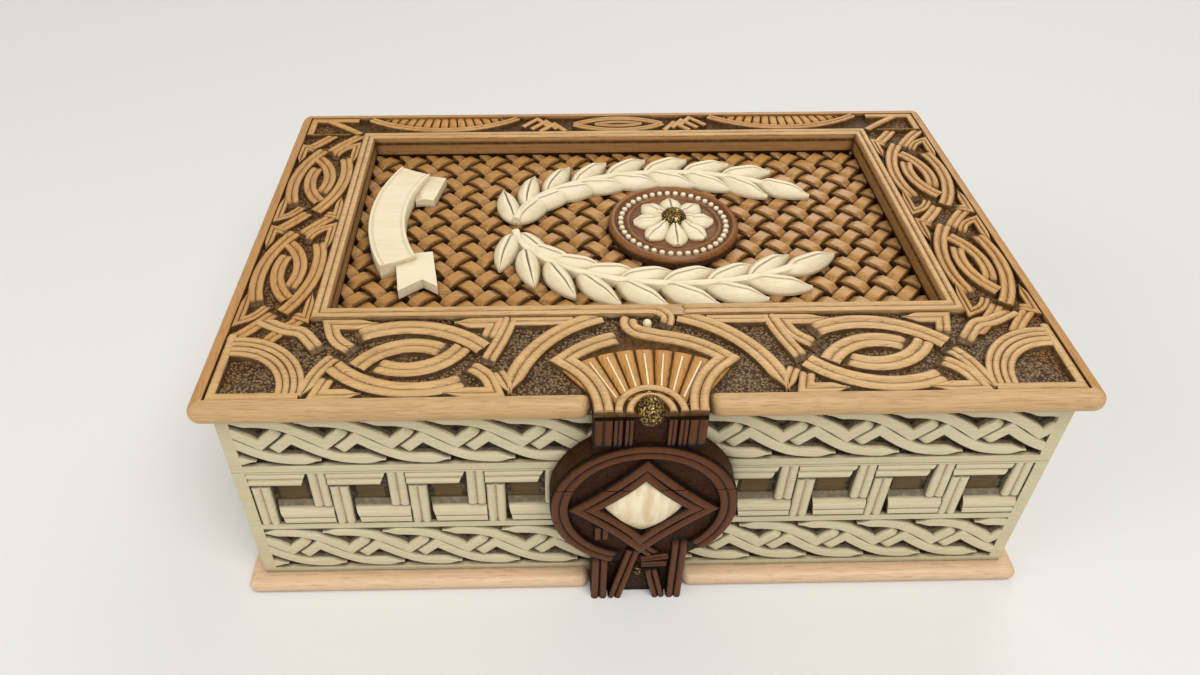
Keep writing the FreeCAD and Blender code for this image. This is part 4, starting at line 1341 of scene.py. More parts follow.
@dataclass
class Knot:
    """An eye-shaped knot of four bands with corner brackets, the same when turned half round."""

    centre: Point
    reach: float
    rise: float
    half: float
    level: float
    bracket_half: float
    dive: float = 3.2
    long_taper: float = 8.0
    short_taper: float = 6.0
    outer_shares: Line = ((-0.8, 0.72), (0.04, 1.0), (1.0, 0.26))
    inner_shares: Line = ((-0.7, -0.3), (-0.04, 0.38), (0.48, 0.18))
    lean_shares: Line = ((-1.1, 0.72), (-0.97, 0.46), (-0.78, 0.25))
    long_shares: Point = (-0.5, -1.19)
    short_shares: Point = (0.56, 1.14)
    fall_share: Point = (1.03, 0.52)

    def strands(self, height: float) -> list[Strand]:
        """List the knot's bands.

        Args:
            height: how far the bands stand over the ground.

        Returns:
            The bands, ready to draw.
        """
        size, made = np.array([self.reach, self.rise]), []
        for turn in (1, -1):
            outer, inner, lean = (turn * np.array(shares) * size for shares in
                                  (self.outer_shares, self.inner_shares, self.lean_shares))
            long, short = (turn * np.array([(share * self.reach, self.level) for share in shares])
                           for shares in (self.long_shares, self.short_shares))
            fall = turn * np.array(self.fall_share) * size
            made.append(Strand(bowed(*outer), self.half, height, dives=(self.dive, 0)))
            made.append(Strand(bowed(*inner), self.half, height, dives=(0, self.dive)))
            bend = np.vstack((spaced(long), flowing((long[1], *lean))[1:]))
            made.append(Strand(bend, self.bracket_half, height, dives=(0, self.dive),
                               tapers=(self.long_taper, 0)))
            made.append(Strand(spaced((*short, fall)), self.bracket_half, height, dives=(0, self.dive),
                               tapers=(self.short_taper, 0)))
        for strand in made:
            strand.path = strand.path + np.array(self.centre)
        return made


@dataclass(frozen=True)
class Sketch:
    """A band as it is drawn on one half of the cover."""

    path: np.ndarray
    half: float
    section: Section = Section.REEDED
    dives: Point = (0.0, 0.0)
    tapers: Point = (0.0, 0.0)

    def strand(self, height: float, mirror: np.ndarray) -> Strand:
        """Make the band for the half that a mirror turns the drawing to."""
        return Strand(self.path * mirror, self.half, height, self.section, dives=self.dives,
                      tapers=self.tapers)


@dataclass
class CoverBorder:
    """The interlace in the four borders of the cover and the reeded bead round the window."""

    carve: float = 2.6
    under: float = 0.5
    corner_reach: float = 12.0
    lip: float = 5.0
    bead: float = 5.5
    bead_height: float = 0.9
    bead_foot: float = 0.6
    bead_gap: float = 0.2
    bead_ends: Point = (13.5, 2.4)
    bead_dives: Point = (4.0, 2.5)
    bead_step: float = 4.0
    bead_hook: Line = ((6.4, -0.5), (9.5, -3.2), (9.7, -6.4), (8.0, -9.0))
    dive: float = 3.0
    clear: float = 0.1
    front: float = 50.0
    side: float = 38.0
    back: float = 26.0
    front_knot: Point = (80.0, 24.6)
    arch: tuple[Sketch, ...] = (
        Sketch(turned((0.5, 0.0), 46.8, 173, 108), half=3.4, tapers=(11, 0)),
        Sketch(flowing(((-46.0, 43.8), (-49.2, 33.0), (-53.8, 21.4))), half=2.7, dives=(0, 3)),
        Sketch(spaced(((-46.0, 42.3), (-24.0, 42.3))), half=2.1),
        Sketch(flowing(((-50.6, 18.8), (-47.0, 11.5), (-44.6, 5.4))), half=2.3, dives=(3, 0), tapers=(0, 7)))
    corner: tuple[Sketch, ...] = (
        Sketch(turned((-140.2, 8.4), 20.2, -4, 94), half=2.35),
        Sketch(turned((-140.2, 8.4), 25.0, -4, 94), half=2.35),
        Sketch(spaced(((-142.9, 37.0), (-142.9, 6.9), (-114.2, 6.9))), half=1.75, section=Section.ROUND),
        Sketch(flowing(((-104.6, 26.6), (-110.2, 18.0), (-113.5, 6.0))), half=2.6, dives=(3, 0),
               tapers=(0, 7)),
        Sketch(flowing(((-135.0, 44.8), (-126.0, 40.0), (-119.6, 38.2), (-115.6, 33.8), (-111.8, 28.8))),
               half=2.7, dives=(0, 3)))
    side_knots: Point = (-39.1, 25.1)
    side_crossing: Line = ((-9.0, 0.5), (0.5, -6.5), (8.5, -14.5))
    crossing_half: float = 2.5
    shell_centre: float = 81.0
    shell_half: float = 35.0
    shell_rise: float = 12.0
    shell_band: Line = ((46.0, 6.0), (81.0, 16.8), (116.0, 6.0))
    shell_band_half: float = 1.9
    shell_flutes: int = 15
    shell_turn: float = 4.6
    flute_inset: Point = (11.5, 1.6)
    flute_step: float = 3.3
    flute_half: float = 1.9
    flute_height: float = 1.7
    chevron: Line = ((25.0, 19.0), (30.5, 11.5), (37.5, 19.0))
    chevron_half: float = 1.5
    chevron_count: int = 3
    chevron_start: float = 2.0
    chevron_step: Point = (4.0, 2.4)
    pocket: tuple[Sketch, ...] = (
        Sketch(spaced(((124.0, 21.0), (143.2, 21.0), (143.2, 6.6), (122.0, 6.6))), half=1.8,
               section=Section.ROUND),
        Sketch(spaced(((136.0, 7.0), (127.0, 13.5), (119.0, 20.0))), half=1.8, section=Section.ROUND))
    lens_middle: Point = (-2.0, 12.4)
    lens_rise: float = 5.6
    lens_bands: tuple[Spot, ...] = ((21.0, 1.0, 1.7), (11.0, 3.0, 1.0))
    half_width: float = field(init=False)
    half_depth: float = field(init=False)
    ground: float = field(init=False)
    outer_y: Point = field(init=False)
    inner_y: Point = field(init=False)
    face: Face = field(init=False)

    def __post_init__(self) -> None:
        """Take the cover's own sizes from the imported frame."""
        right, front, back = highest("frame_right"), lowest("frame_front"), highest("frame_back")
        self.half_width, self.half_depth = right[0], back[1]
        self.ground = right[2] - self.carve
        self.outer_y = (front[1] + self.lip, back[1] - self.lip)
        self.inner_y = (front[1] + self.front - self.bead, back[1] - self.back + self.bead)
        self.face = Face((0, front[1], self.ground))

    def build(self) -> None:
        """Make the carving of each border and the bead."""
        self.build_front()
        self.build_sides()
        self.build_back()
        self.build_bead()

    def build_front(self) -> None:
        """Make the front border: two knots, the corners and the arch round the fan."""
        edge = self.half_width - self.lip
        cuts = cuts_round((-edge, edge), (self.outer_y[0], self.inner_y[0]), self.clear)
        both = Draft()
        for hand in (-1, 1):
            knot = Knot((hand * self.front_knot[0], self.front_knot[1]), reach=25.0, rise=15.3, half=3.5,
                        level=17.3, bracket_half=2.7)
            mirror = np.array([-hand, 1.0])
            strands = [sketch.strand(self.carve, mirror) for sketch in self.arch + self.corner]
            strands.extend(knot.strands(self.carve))
            both.take(carve("front_border_half", strands, self.face, cuts))
        finish_piece(both.piece("front_border_carving"), Body.LID, BORDER_FRONT_LIT)

    def build_sides(self) -> None:
        """Make the side borders: two knots each, with bands that cross between them."""
        middle = (self.lip + self.side - self.bead) / 2
        outer, inner = self.half_width - self.lip, self.half_width - self.side + self.bead
        step = self.side_knots[1] - self.side_knots[0]
        for name, hand in (("left", -1), ("right", 1)):
            face = Face((hand * self.half_width, 0, self.ground), (0, hand, 0), (-hand, 0, 0))
            knots = [-hand * place for place in self.side_knots]
            strands = []
            for place in knots:
                knot = Knot((place, middle), reach=24.5, rise=10.6, half=2.8, level=11.8, bracket_half=1.8)
                strands.extend(knot.strands(self.carve))
            first = min(knots) - step / 2
            for crossing in (first, first + step, first + 2 * step):
                for turn in (1, -1):
                    band = turn * np.array(self.side_crossing) + (crossing, middle)
                    strands.append(Strand(bowed(*band), self.crossing_half, self.carve - self.under,
                                          dives=(self.dive, 0)))
            low, high = sorted((hand * outer, hand * inner))
            cuts = cuts_round((low, high), (self.inner_y[0] - self.corner_reach, self.inner_y[1]), self.clear)
            piece = carve(f"{name}_border_carving", strands, face, cuts)
            finish_piece(piece, Body.LID, BORDER_SHORT)

    def build_back(self) -> None:
        """Make the back border: two fluted shells, a lens between them, chevrons and corner pockets."""
        face = Face((0, self.half_depth, self.ground), (-1, 0, 0), (0, -1, 0))
        outer = self.half_width - self.lip
        cuts = cuts_round((-outer, outer), (self.inner_y[1], self.outer_y[1]), self.clear)
        strands = []
        for hand in (-1, 1):
            mirror = np.array([hand, 1.0])
            band = bowed(*(np.array(self.shell_band) * mirror))
            strands.append(Strand(band, self.shell_band_half, self.carve))
            for number in range(self.chevron_count):
                shift = (number * self.chevron_step[0] - self.chevron_start, -number * self.chevron_step[1])
                strands.append(Strand(spaced(np.array(self.chevron) + shift) * mirror, self.chevron_half,
                                      self.carve, Section.ROUND))
            strands.extend(sketch.strand(self.carve, mirror) for sketch in self.pocket)
        run, level = self.lens_middle
        for rise in (self.lens_rise, -self.lens_rise):
            for reach, part, half in self.lens_bands:
                bow = bowed((run - reach, level), (run, level + rise / part), (run + reach, level))
                strands.append(Strand(bow, half, self.carve))
        piece = carve("back_border_carving", strands, face, cuts)
        finish_piece(piece, Body.LID, BORDER_LONG)
        self.build_shells(cuts)

    def build_shells(self, cuts: Sequence[Plane]) -> None:
        """Make the flutes of the back border's two shells.

        Args:
            cuts: the planes round the border's field.
        """
        radius = (self.shell_half ** 2 + self.shell_rise ** 2) / (2 * self.shell_rise)
        focus = self.lip + self.shell_rise - radius
        for name, hand in (("left", -1), ("right", 1)):
            line = spaced([(radius - inset, 0.0) for inset in self.flute_inset], self.flute_step)
            flute = Strand(line, self.flute_half, self.flute_height, Section.ROUND, dives=(0, self.dive))
            shell = draw_strands(f"{name}_back_shell", Face((0, 0, self.ground)), [flute])
            repeat(shell, fan_tree(), FLUTE, Count=self.shell_flutes, Step=math.radians(self.shell_turn),
                   Start=math.radians(-90 - self.shell_flutes // 2 * self.shell_turn),
                   Centre=(hand * self.shell_centre * MM, (self.half_depth - focus) * MM, 0))
            trim(shell, cuts)
            finish_piece(shell, Body.LID)

    def build_bead(self) -> None:
        """Make the reeded bead round the window, with the hook that it ends in at the front."""
        middle = self.bead / 2
        side = self.half_width - self.side + middle
        near, far = self.front - middle, 2 * self.half_depth - self.back + middle
        start, end = self.bead_ends
        run = ((start, near), (side, near), (side, far), (-side, far), (-side, near), (end, near))
        hook = (run[-1], *((place, near + drop) for place, drop in self.bead_hook))
        line = np.vstack((spaced(run, self.bead_step), flowing(hook)[1:]))
        strand = Strand(line, middle - self.bead_gap, self.carve + self.bead_height - self.bead_foot,
                        foot=self.bead_foot, dives=self.bead_dives)
        finish_piece(draw_strands("window_bead", self.face, [strand]), Body.LID, BORDER_FRONT_LIT)


@dataclass(frozen=True)
class Circle:
    """A circle on a working face."""

    centre: Point
    radius: float

    def grown(self, step: float) -> Circle:
        """Give the circle about the same centre whose radius is a step larger."""
        return Circle(self.centre, self.radius + step)

    def arc(self, start: float, end: float) -> np.ndarray:
        """Draw the arc between two angles in degrees."""
        return turned(self.centre, self.radius, start, end)

    def bearing(self, point: np.ndarray) -> float:
        """Give the angle in degrees at which a point lies, seen from the centre."""
        return math.degrees(math.atan2(point[1] - self.centre[1], point[0] - self.centre[0]))

    def meets(self, other: Circle) -> np.ndarray:
        """Find the upper point where two circles meet.

        Args:
            other: the other circle.

        Returns:
            The point with the larger rise.
        """
        start, end = np.array(self.centre, float), np.array(other.centre, float)
        gap = float(np.linalg.norm(end - start))
        along = (gap ** 2 + self.radius ** 2 - other.radius ** 2) / (2 * gap)
        off = math.sqrt(self.radius ** 2 - along ** 2)
        ahead = (end - start) / gap
        points = [start + ahead * along + turn * off * np.array([-ahead[1], ahead[0]]) for turn in (1, -1)]
        return max(points, key=lambda point: point[1])


@dataclass
class FanShell:
    """The fan over the clasp: its flutes, the bands round it and the arcs round its bead."""

    band_half: float = 3.2
    band_height: float = 3.4
    band_inset: float = 0.4
    band_dive: float = 3.0
    waist: float = 18.5
    front_reach: float = 2.5
    tip_rise: float = 21.0
    plate: float = 1.0
    plate_relief: float = 0.3
    inset: float = 2.4
    crown: Point = (81.0, 79.0)
    hook: Line = ((-2.4, 44.4), (-4.1, 41.4), (-3.8, 38.0), (-1.0, 35.2), (3.4, 33.9))
    bead_arcs: Line = ((10.6, 1.5), (7.0, 1.4))
    arc_drop: float = 0.2
    pearl_place: Point = (2.4, 40.2)
    pearl: Line = ((1.5, 0), (1.6, 2.2), (1.4, 3.0), (0.9, 3.5), (0, 3.7))
    pearl_sides: int = 24
    flute_height: float = 1.1
    flute_focus: float = 19.0
    flute_reach: Point = (23.0, 45.8)
    flute_turn: float = 8.5
    flute_fill: float = 0.94
    flute_count: int = 9
    flute_step: float = 4.0
    inlay_half: float = 0.32
    inlay_rise: float = 0.25
    inlay_inset: Point = (2.5, -2.0)
    inlay_count: int = 7
    inlay_step: float = 6.0
    flute_sink: float = 0.1

    def build(self) -> None:
        """Make the ground plate, the flutes with their inlay, the bands and the pearl."""
        low, high = lowest("fan_shell"), highest("fan_shell")
        edge = low[1] + self.front_reach
        face = Face((0, edge, low[2]))
        rise = high[1] - edge - self.tip_rise
        top_radius = (high[0] ** 2 + rise ** 2) / (2 * rise)
        top = Circle((0.0, self.tip_rise + rise - top_radius), top_radius)
        run, side = self.tip_rise + self.front_reach, high[0] - self.waist
        scoop_radius = (side ** 2 + run ** 2) / (2 * side)
        scoop = Circle((self.waist + scoop_radius, -self.front_reach), scoop_radius)
        self.build_plate(face, top.grown(-self.inset), scoop.grown(self.inset))
        self.build_bands(face, top.grown(-self.band_half).grown(-self.band_inset),
                         scoop.grown(self.band_half))
        self.build_flutes(face, edge)

    def build_plate(self, face: Face, top: Circle, scoop: Circle) -> None:
        """Make the thin ground of the fan inside its outline.

        Args:
            face: the border's ground.
            top: the circle of the top edge.
            scoop: the circle of the right edge.
        """
        tip = top.meets(scoop)
        rise = top.bearing(tip)
        right = scoop.arc(180, scoop.bearing(tip))
        outline = np.vstack((right, top.arc(rise, 180 - rise)[1:-1], right[::-1] * (-1, 1)))
        draft = Draft()
        draw_plate(draft, face, outline, self.plate, self.plate_relief)
        finish_piece(draft.piece("fan_ground"), Body.LID, FLUTE, ["fan_shell"])

    def build_bands(self, face: Face, top: Circle, scoop: Circle) -> None:
        """Make the bands round the fan, the hook at its crown and the arcs round the bead.

        Args:
            face: the border's ground.
            top: the circle of the top band's middle.
            scoop: the circle of the right band's middle.
        """
        tip = top.meets(scoop)
        rise = top.bearing(tip)
        side = scoop.arc(scoop.bearing(tip), 180)[1:]
        crown = top.arc(self.crown[0], rise)
        right = np.vstack((flowing((*self.hook, crown[0]))[:-1], crown, side))
        left = np.vstack((top.arc(self.crown[1], rise), side)) * (-1, 1)
        strands = [Strand(path, self.band_half, self.band_height, dives=(self.band_dive, 0))
                   for path in (right, left)]
        strands.extend(Strand(turned((0.0, -self.front_reach), radius, 0, 180), half,
                              self.band_height - self.arc_drop, Section.ROUND)
                       for radius, half in self.bead_arcs)
        finish_piece(draw_strands("fan_bands", face, strands), Body.LID, BORDER_FRONT_LIT)
        pearl = Draft()
        draw_turning(pearl, face, self.pearl_place, self.pearl, self.pearl_sides)
        finish_piece(pearl.piece("knot_pearl"), Body.LID, INLAY)

    def build_flutes(self, face: Face, edge: float) -> None:
        """Make the flutes and the pale line in each.

        Args:
            face: the border's ground.
            edge: where the cover's front edge lies.
        """
        start, end = self.flute_reach
        path = spaced(((start, 0.0), (end, 0.0)), self.flute_step)
        spread = path[:, 0] * math.tan(math.radians(self.flute_turn / 2)) * self.flute_fill
        foot = self.plate - self.flute_sink
        flute = Strand(path, spread, self.flute_height, Section.ROUND, foot=foot)
        line = spaced(((start + self.inlay_inset[0], 0.0), (end + self.inlay_inset[1], 0.0)),
                      self.inlay_step)
        inlay = Strand(line, self.inlay_half, self.flute_height + self.inlay_rise, Section.FLAT, foot=foot)
        step = math.radians(self.flute_turn)
        for name, finish, strand, count in (("fan_flutes", FLUTE, flute, self.flute_count),
                                            ("fan_inlay", INLAY, inlay, self.inlay_count)):
            piece = draw_strands(name, Face((0, 0, face.origin[2])), [strand])
            repeat(piece, fan_tree(), finish, Count=count, Step=step,
                   Centre=(0, (edge - self.flute_focus) * MM, 0), Start=math.pi / 2 - step * (count - 1) / 2)
            finish_piece(piece, Body.LID)


@dataclass
class ClaspCarving:
    """The bands carved over the clasp's disc, strap and tail."""

    ring_radius: float = 29.7
    ring_half: float = 3.1
    ring_turn: Point = (-50.0, 255.0)
    ring_dives: Point = (3.0, 3.0)
    height: float = 1.9
    tail_drop: float = 1.9
    tail_rise: float = 0.2
    clear: float = 0.1
    diamonds: Line = ((18.3, 17.9), (23.9, 23.2))
    diamond_half: float = 1.95
    diamond_rise: float = 0.2
    hollow: float = 0.9
    hollow_pull: float = 1.4
    long_straps: tuple[tuple[float, Point, float, Point], ...] = (
        (-14.4, (-14.4, -27.5), 3.0, (0, 3)), (14.4, (14.4, -17.5), 2.9, (0, 3)),
        (-8.4, (-2.4, -24.5), 2.6, (0, 0)), (8.6, (4.6, -36.5), 2.4, (0, 2)))
    short_straps: tuple[tuple[Point, Point, float, Point], ...] = (
        ((-4.0, -17.6), (6.6, -29.0), 2.4, (0, 3)), ((0.6, -29.8), (10.6, -28.4), 1.5, (0, 0)),
        ((1.0, -33.2), (10.2, -33.0), 1.4, (0, 0)), ((-14.4, -19.0), (-14.4, -9.5), 2.7, (2, 2)))
    strap_step: float = 2.0
    reeds: Line = ((15.3, 3.0), (10.6, 1.5), (7.0, 1.4))
    reed_foot: float = 31.0
    reed_step: float = 3.0
    reed_dive: float = 4.0

    def build(self) -> None:
        """Make the carving of each half, cut back to the seam and to the floor."""
        seat = (lowest("clasp_diamond") + highest("clasp_diamond")) / 2
        face = Face((0, lowest("clasp_lower")[1], seat[2]), (1, 0, 0), (0, 0, 1))
        ceiling = highest("clasp_upper")[2] - self.clear
        lower_edge = highest("clasp_lower")[2] - self.clear
        upper_edge = lowest("clasp_upper")[2] + self.clear
        floor = ((0, 0, self.clear), (0, 0, -1))
        for name, body, seam in (("clasp_lower_carving", Body.TRAY, ((0, 0, lower_edge), (0, 0, 1))),
                                 ("clasp_upper_carving", Body.LID, ((0, 0, upper_edge), (0, 0, -1)))):
            strands = [*self.disc(), *self.straps(-seat[2], ceiling - seat[2])]
            finish_piece(carve(name, strands, face, [seam, floor]), body, CLASP_BAND)

    def disc(self) -> list[Strand]:
        """List the ring and the two diamonds.

        Returns:
            The bands, ready to draw.
        """
        ring = turned((0, 0), self.ring_radius, *self.ring_turn)
        made = [Strand(ring, self.ring_half, self.height, dives=self.ring_dives)]
        for wide, tall in self.diamonds:
            corners = [(wide, 0.0), (0.0, tall), (-wide, 0.0), (0.0, -tall)]
            sides = []
            for first, last in zip(corners, corners[1:] + corners[:1]):
                middle = (np.array(first) + last) / 2
                sides.append(bowed(first, middle * (1 - self.hollow / wide * self.hollow_pull), last)[:-1])
            made.append(Strand(np.vstack(sides), self.diamond_half, self.height + self.diamond_rise,
                               Section.ROUND, closed=True))
        return made

    def straps(self, floor: float, ceiling: float) -> list[Strand]:
        """List the straps over the tail and the reeds of the strap above.

        Args:
            floor: the rise of the floor, seen from the disc's middle.
            ceiling: the rise of the strap's top.

        Returns:
            The bands, ready to draw.
        """
        low = floor + self.tail_rise
        lines = [((place, low), *rest) for place, *rest in self.long_straps] + [*self.short_straps]
        made = [Strand(spaced((first, last), self.strap_step), half, self.height + self.tail_drop,
                       foot=-self.tail_drop, dives=dives) for first, last, half, dives in lines]
        for place, half in self.reeds:
            for hand in (-1, 1):
                reed = spaced(((hand * place, self.reed_foot), (hand * place, ceiling)), self.reed_step)
                made.append(Strand(reed, half, self.height, dives=(self.reed_dive, 0)))
        return made


@dataclass
class Emblem:
    """The laurel branches round the medallion with its rosette."""

    leaf_pairs: int = 9
    leaf_length: float = 25.0
    leaf_half: float = 4.9
    leaf_height: float = 5.0
    leaf_lift: float = 0.25
    leaf_levels: int = 3
    leaf_points: int = 15
    leaf_skew: float = 0.85
    leaf_tip: float = 0.04
    leaf_swell: float = 0.72
    leaf_low: float = 0.45
    leaf_dives: Point = (7.0, 9.0)
    lean: float = 27.0
    lean_ease: Point = (1.15, 0.45)
    branch: Point = (174.0, 38.0)
    wreath: Point = (66.0, 40.0)
    stem_half: float = 1.9
    stem_share: float = 0.8
    stem_points: int = 60
    stem_step: float = 0.02
    turning: Line = ((0, 0), (0, 3.0), (0.5, 4.0), (1.4, 4.6), (2.4, 4.4), (3.0, 3.4), (3.6, 3.0), (6.6, 3.0),
                     (7.2, 3.5), (7.9, 3.7), (8.6, 3.5), (9.2, 3.0), (12.0, 3.1))
    turning_crown: float = 3.6
    turning_sides: int = 96
    pearl: Line = ((1.25, 0), (1.3, 0.5), (1.0, 1.2), (0, 1.5))
    pearl_inset: float = 5.1
    pearl_rise: float = 2.8
    pearl_count: int = 40
    pearl_sides: int = 10
    petals: tuple[Spot, ...] = ((16.6, 4.9, 3.6), (11.0, 3.2, 2.9))
    petal_start: float = 2.0
    petal_foot: float = 2.9
    petal_points: int = 9
    petal_skew: float = 1.5
    petal_tip: float = 0.12
    petal_swell: float = 0.6
    petal_low: float = 0.5
    petal_dive: float = 4.0
    petal_count: int = 8

    def build(self) -> None:
        """Make both branches, the medallion, its pearls and the rosette."""
        low, high = lowest("medallion"), highest("medallion")
        middle = (low + high) / 2
        face = Face((middle[0], middle[1], low[2]))
        for name, hand in (("laurel_front", -1), ("laurel_back", 1)):
            piece = draw_strands(f"{name}_carved", face, self.branch_strands(hand))
            finish_piece(piece, Body.LID, CREAM, [name])
        self.build_medallion(face, high[0] - middle[0])
        self.build_rosette(face, highest("rosette")[2] - low[2])

    def on_stem(self, angle: float, hand: int) -> np.ndarray:
        """Give the point of a branch's stem at an angle in radians."""
        long, short = self.wreath
        return np.array([long * math.cos(angle), hand * short * math.sin(angle)])

    def branch_strands(self, hand: int) -> list[Strand]:
        """List one stem and its pairs of leaves.

        Args:
            hand: -1 for the front branch, 1 for the back one.

        Returns:
            The bands, ready to draw.
        """
        start, end = (math.radians(angle) for angle in self.branch)
        stem = np.array([self.on_stem(angle, hand) for angle in np.linspace(start, end, self.stem_points)])
        made = [Strand(stem, self.stem_half, self.leaf_height * self.stem_share, Section.ROUND)]
        shares = np.linspace(0, 1, self.leaf_points)
        swell = np.clip(np.sin(math.pi * shares ** self.leaf_skew), self.leaf_tip, 1) ** self.leaf_swell
        step = self.leaf_length / (self.leaf_points - 1)
        for pair in range(self.leaf_pairs):
            angle = start + (end - start) * pair / self.leaf_pairs
            foot = self.on_stem(angle, hand)
            ahead = self.on_stem(angle - self.stem_step, hand) - foot
            heading = math.atan2(ahead[1], ahead[0])
            for side in (0,) if pair == self.leaf_pairs - 1 else (-1, 1):
                ease = self.lean_ease[0] - self.lean_ease[1] * shares
                turn = heading + side * math.radians(self.lean) * ease
                run = np.column_stack((np.cos(turn), np.sin(turn))) * step
                path = foot + np.cumsum(run, axis=0) - run[0]
                height = self.leaf_height + self.leaf_lift * (pair % self.leaf_levels)
                made.append(Strand(path, self.leaf_half * swell, height, Section.LEAF,
                                   dives=self.leaf_dives, low_share=self.leaf_low))
        return made

    def build_medallion(self, face: Face, radius: float) -> None:
        """Make the turned medallion and its ring of pearls.

        Args:
            face: the weave's top.
            radius: the medallion's radius.
        """
        draft = Draft()
        profile = [(radius - inset, height) for inset, height in self.turning] + [(0.0, self.turning_crown)]
        draw_turning(draft, face, (0, 0), profile, self.turning_sides)
        finish_piece(draft.piece("medallion_turned"), Body.LID, WALNUT, ["medallion"])
        unit = Draft()
        draw_turning(unit, Face((radius - self.pearl_inset, 0, face.origin[2] + self.pearl_rise)), (0, 0),
                     self.pearl, self.pearl_sides)
        pearls = unit.piece("medallion_pearls")
        self.repeat_round(pearls, face, self.pearl_count)
        finish_piece(pearls, Body.LID)

    def build_rosette(self, face: Face, top: float) -> None:
        """Make the two rounds of petals.

        Args:
            face: the weave's top.
            top: the rosette's height over it.
        """
        shares = np.linspace(0, 1, self.petal_points)
        swell = np.clip(np.sin(math.pi * shares ** self.petal_skew), self.petal_tip, 1) ** self.petal_swell
        strands = []
        for reach, half, drop in self.petals:
            run = self.petal_start + (reach - self.petal_start) * shares
            strands.append(Strand(np.column_stack((run, np.zeros(len(run)))), half * swell, top - drop,
                                  Section.LEAF, foot=self.petal_foot, dives=(0, self.petal_dive),
                                  low_share=self.petal_low))
        piece = draw_strands("rosette_petals", Face((0, 0, face.origin[2])), strands)
        self.repeat_round(piece, face, self.petal_count)
        finish_piece(piece, Body.LID, None, ["rosette"])

    def repeat_round(self, piece: Piece, face: Face, count: int) -> None:
        """Repeat a unit all the way round the medallion's middle."""
        repeat(piece, fan_tree(), CREAM, Count=count, Step=2 * math.pi / count, Start=0.0,
               Centre=(face.origin[0] * MM, face.origin[1] * MM, 0))


@dataclass
class Scroll:
    """The bare ribbon: a bowed band with a folded flap and a cleft tail."""

    middle: Point = (-91.0, 16.0)
    chord: float = 66.0
    bow: float = 8.0
    half: float = 7.5
    height: float = 6.5
    fold_height: float = 4.2
    flap: Line = ((1.0, -10.5), (6.0, -10.2), (11.8, -11.4))
    flap_half: float = 9.0
    flap_low: float = 0.7
    flap_dive: float = 3.0
    tail: Line = ((1.6, -16.0), (10.2, -9.2), (16.4, -13.6), (12.6, 8.6), (-2.0, 6.5))

    def build(self) -> None:
        """Make the band, the flap behind its upper end and the tail behind its lower end."""
        face = Face((self.middle[0], self.middle[1], lowest("ribbon")[2]))
        reach = self.chord / 2
        band = Strand(bowed((0, -reach), (-self.bow, 0), (0, reach)), self.half, self.height, Section.RIBBON)
        flap = Strand(flowing(np.array(self.flap) + (0, reach)), self.flap_half, self.fold_height,
                      Section.RIBBON, dives=(self.flap_dive, 0), low_share=self.flap_low)
        draft = Draft()
        band.draw(draft, face)
        flap.draw(draft, face)
        draw_plate(draft, face, np.array(self.tail) - (0, reach), self.fold_height)
        finish_piece(draft.piece("scroll"), Body.LID, CREAM, ["ribbon"])


@dataclass
class Lining:
    """The felt laid on the floor of the tray."""

    columns: int = 54
    rows: int = 34
    swell: float = 0.12
    wave_x: Point = (0.083, 0.7)
    wave_y: float = 0.111
    ease: float = 8.0
    edge_width: float = 0.01
    edge_drop: float = 0.45

    def build(self) -> None:
        """Make the felt as a closed sheet with soft edges and a slight unevenness."""
        low, high = lowest("floor_lining"), highest("floor_lining")
        grid_x, grid_y = np.meshgrid(np.linspace(low[0], high[0], self.columns + 1),
                                     np.linspace(low[1], high[1], self.rows + 1))
        inset = np.minimum.reduce((grid_x - low[0], high[0] - grid_x, grid_y - low[1], high[1] - grid_y))
        wave = np.sin(grid_x * self.wave_x[0] + self.wave_x[1]) * np.cos(grid_y * self.wave_y) * self.swell
        inside = high[2] - self.swell + wave * np.clip(inset / self.ease, 0, 1)
        lift = np.where(inset > self.edge_width, inside, high[2] - self.edge_drop)
        tops = np.column_stack((grid_x.ravel(), grid_y.ravel(), lift.ravel()))
        bottoms = np.column_stack((grid_x.ravel(), grid_y.ravel(), np.full(grid_x.size, low[2])))
        wide, count = self.columns + 1, grid_x.size
        faces: Faces = []
        for row in range(self.rows):
            for column in range(self.columns):
                first = row * wide + column
                quad = (first, first + 1, first + wide + 1, first + wide)
                faces.append(quad)
                faces.append(tuple(index + count for index in reversed(quad)))
        rim = [*range(wide), *range(2 * wide - 1, count, wide), *range(count - 2, count - wide - 1, -1),
               *range(count - 2 * wide, 0, -wide)]
        faces.extend((first + count, after + count, after, first)
                     for first, after in zip(rim, rim[1:] + rim[:1]))
        draft = Draft()
        draft.add(np.vstack((tops, bottoms)), faces)
        piece = finish_piece(draft.piece("felt_lining"), Body.TRAY, Felt(), ["floor_lining"])


@dataclass(frozen=True)
class Lamp:
    """A round soft lamp: where it hangs, what it lights, its width and its power."""

    name: str
    place: Spot
    aim: Spot
    size: float
    power: float

    def hang(self, reach: float) -> None:
        """Hang the lamp further off, wider and stronger by the same reach.

        Args:
            reach: how many times further off it hangs.
        """
        data = bpy.data.lights.new(self.name, "AREA")
        data.shape = "DISK"
        data.size = self.size * MM * reach
        data.energy = self.power * reach ** 2
        lamp = bpy.data.objects.new(self.name, data)
        away = np.subtract(self.place, self.aim)
        flat = math.hypot(away[0], away[1])
        lamp.location = (self.aim + away * reach) * MM
        lamp.rotation_euler = (math.atan2(flat, away[2]), 0, math.atan2(away[0], -away[1]))
        bpy.context.scene.collection.objects.link(lamp)


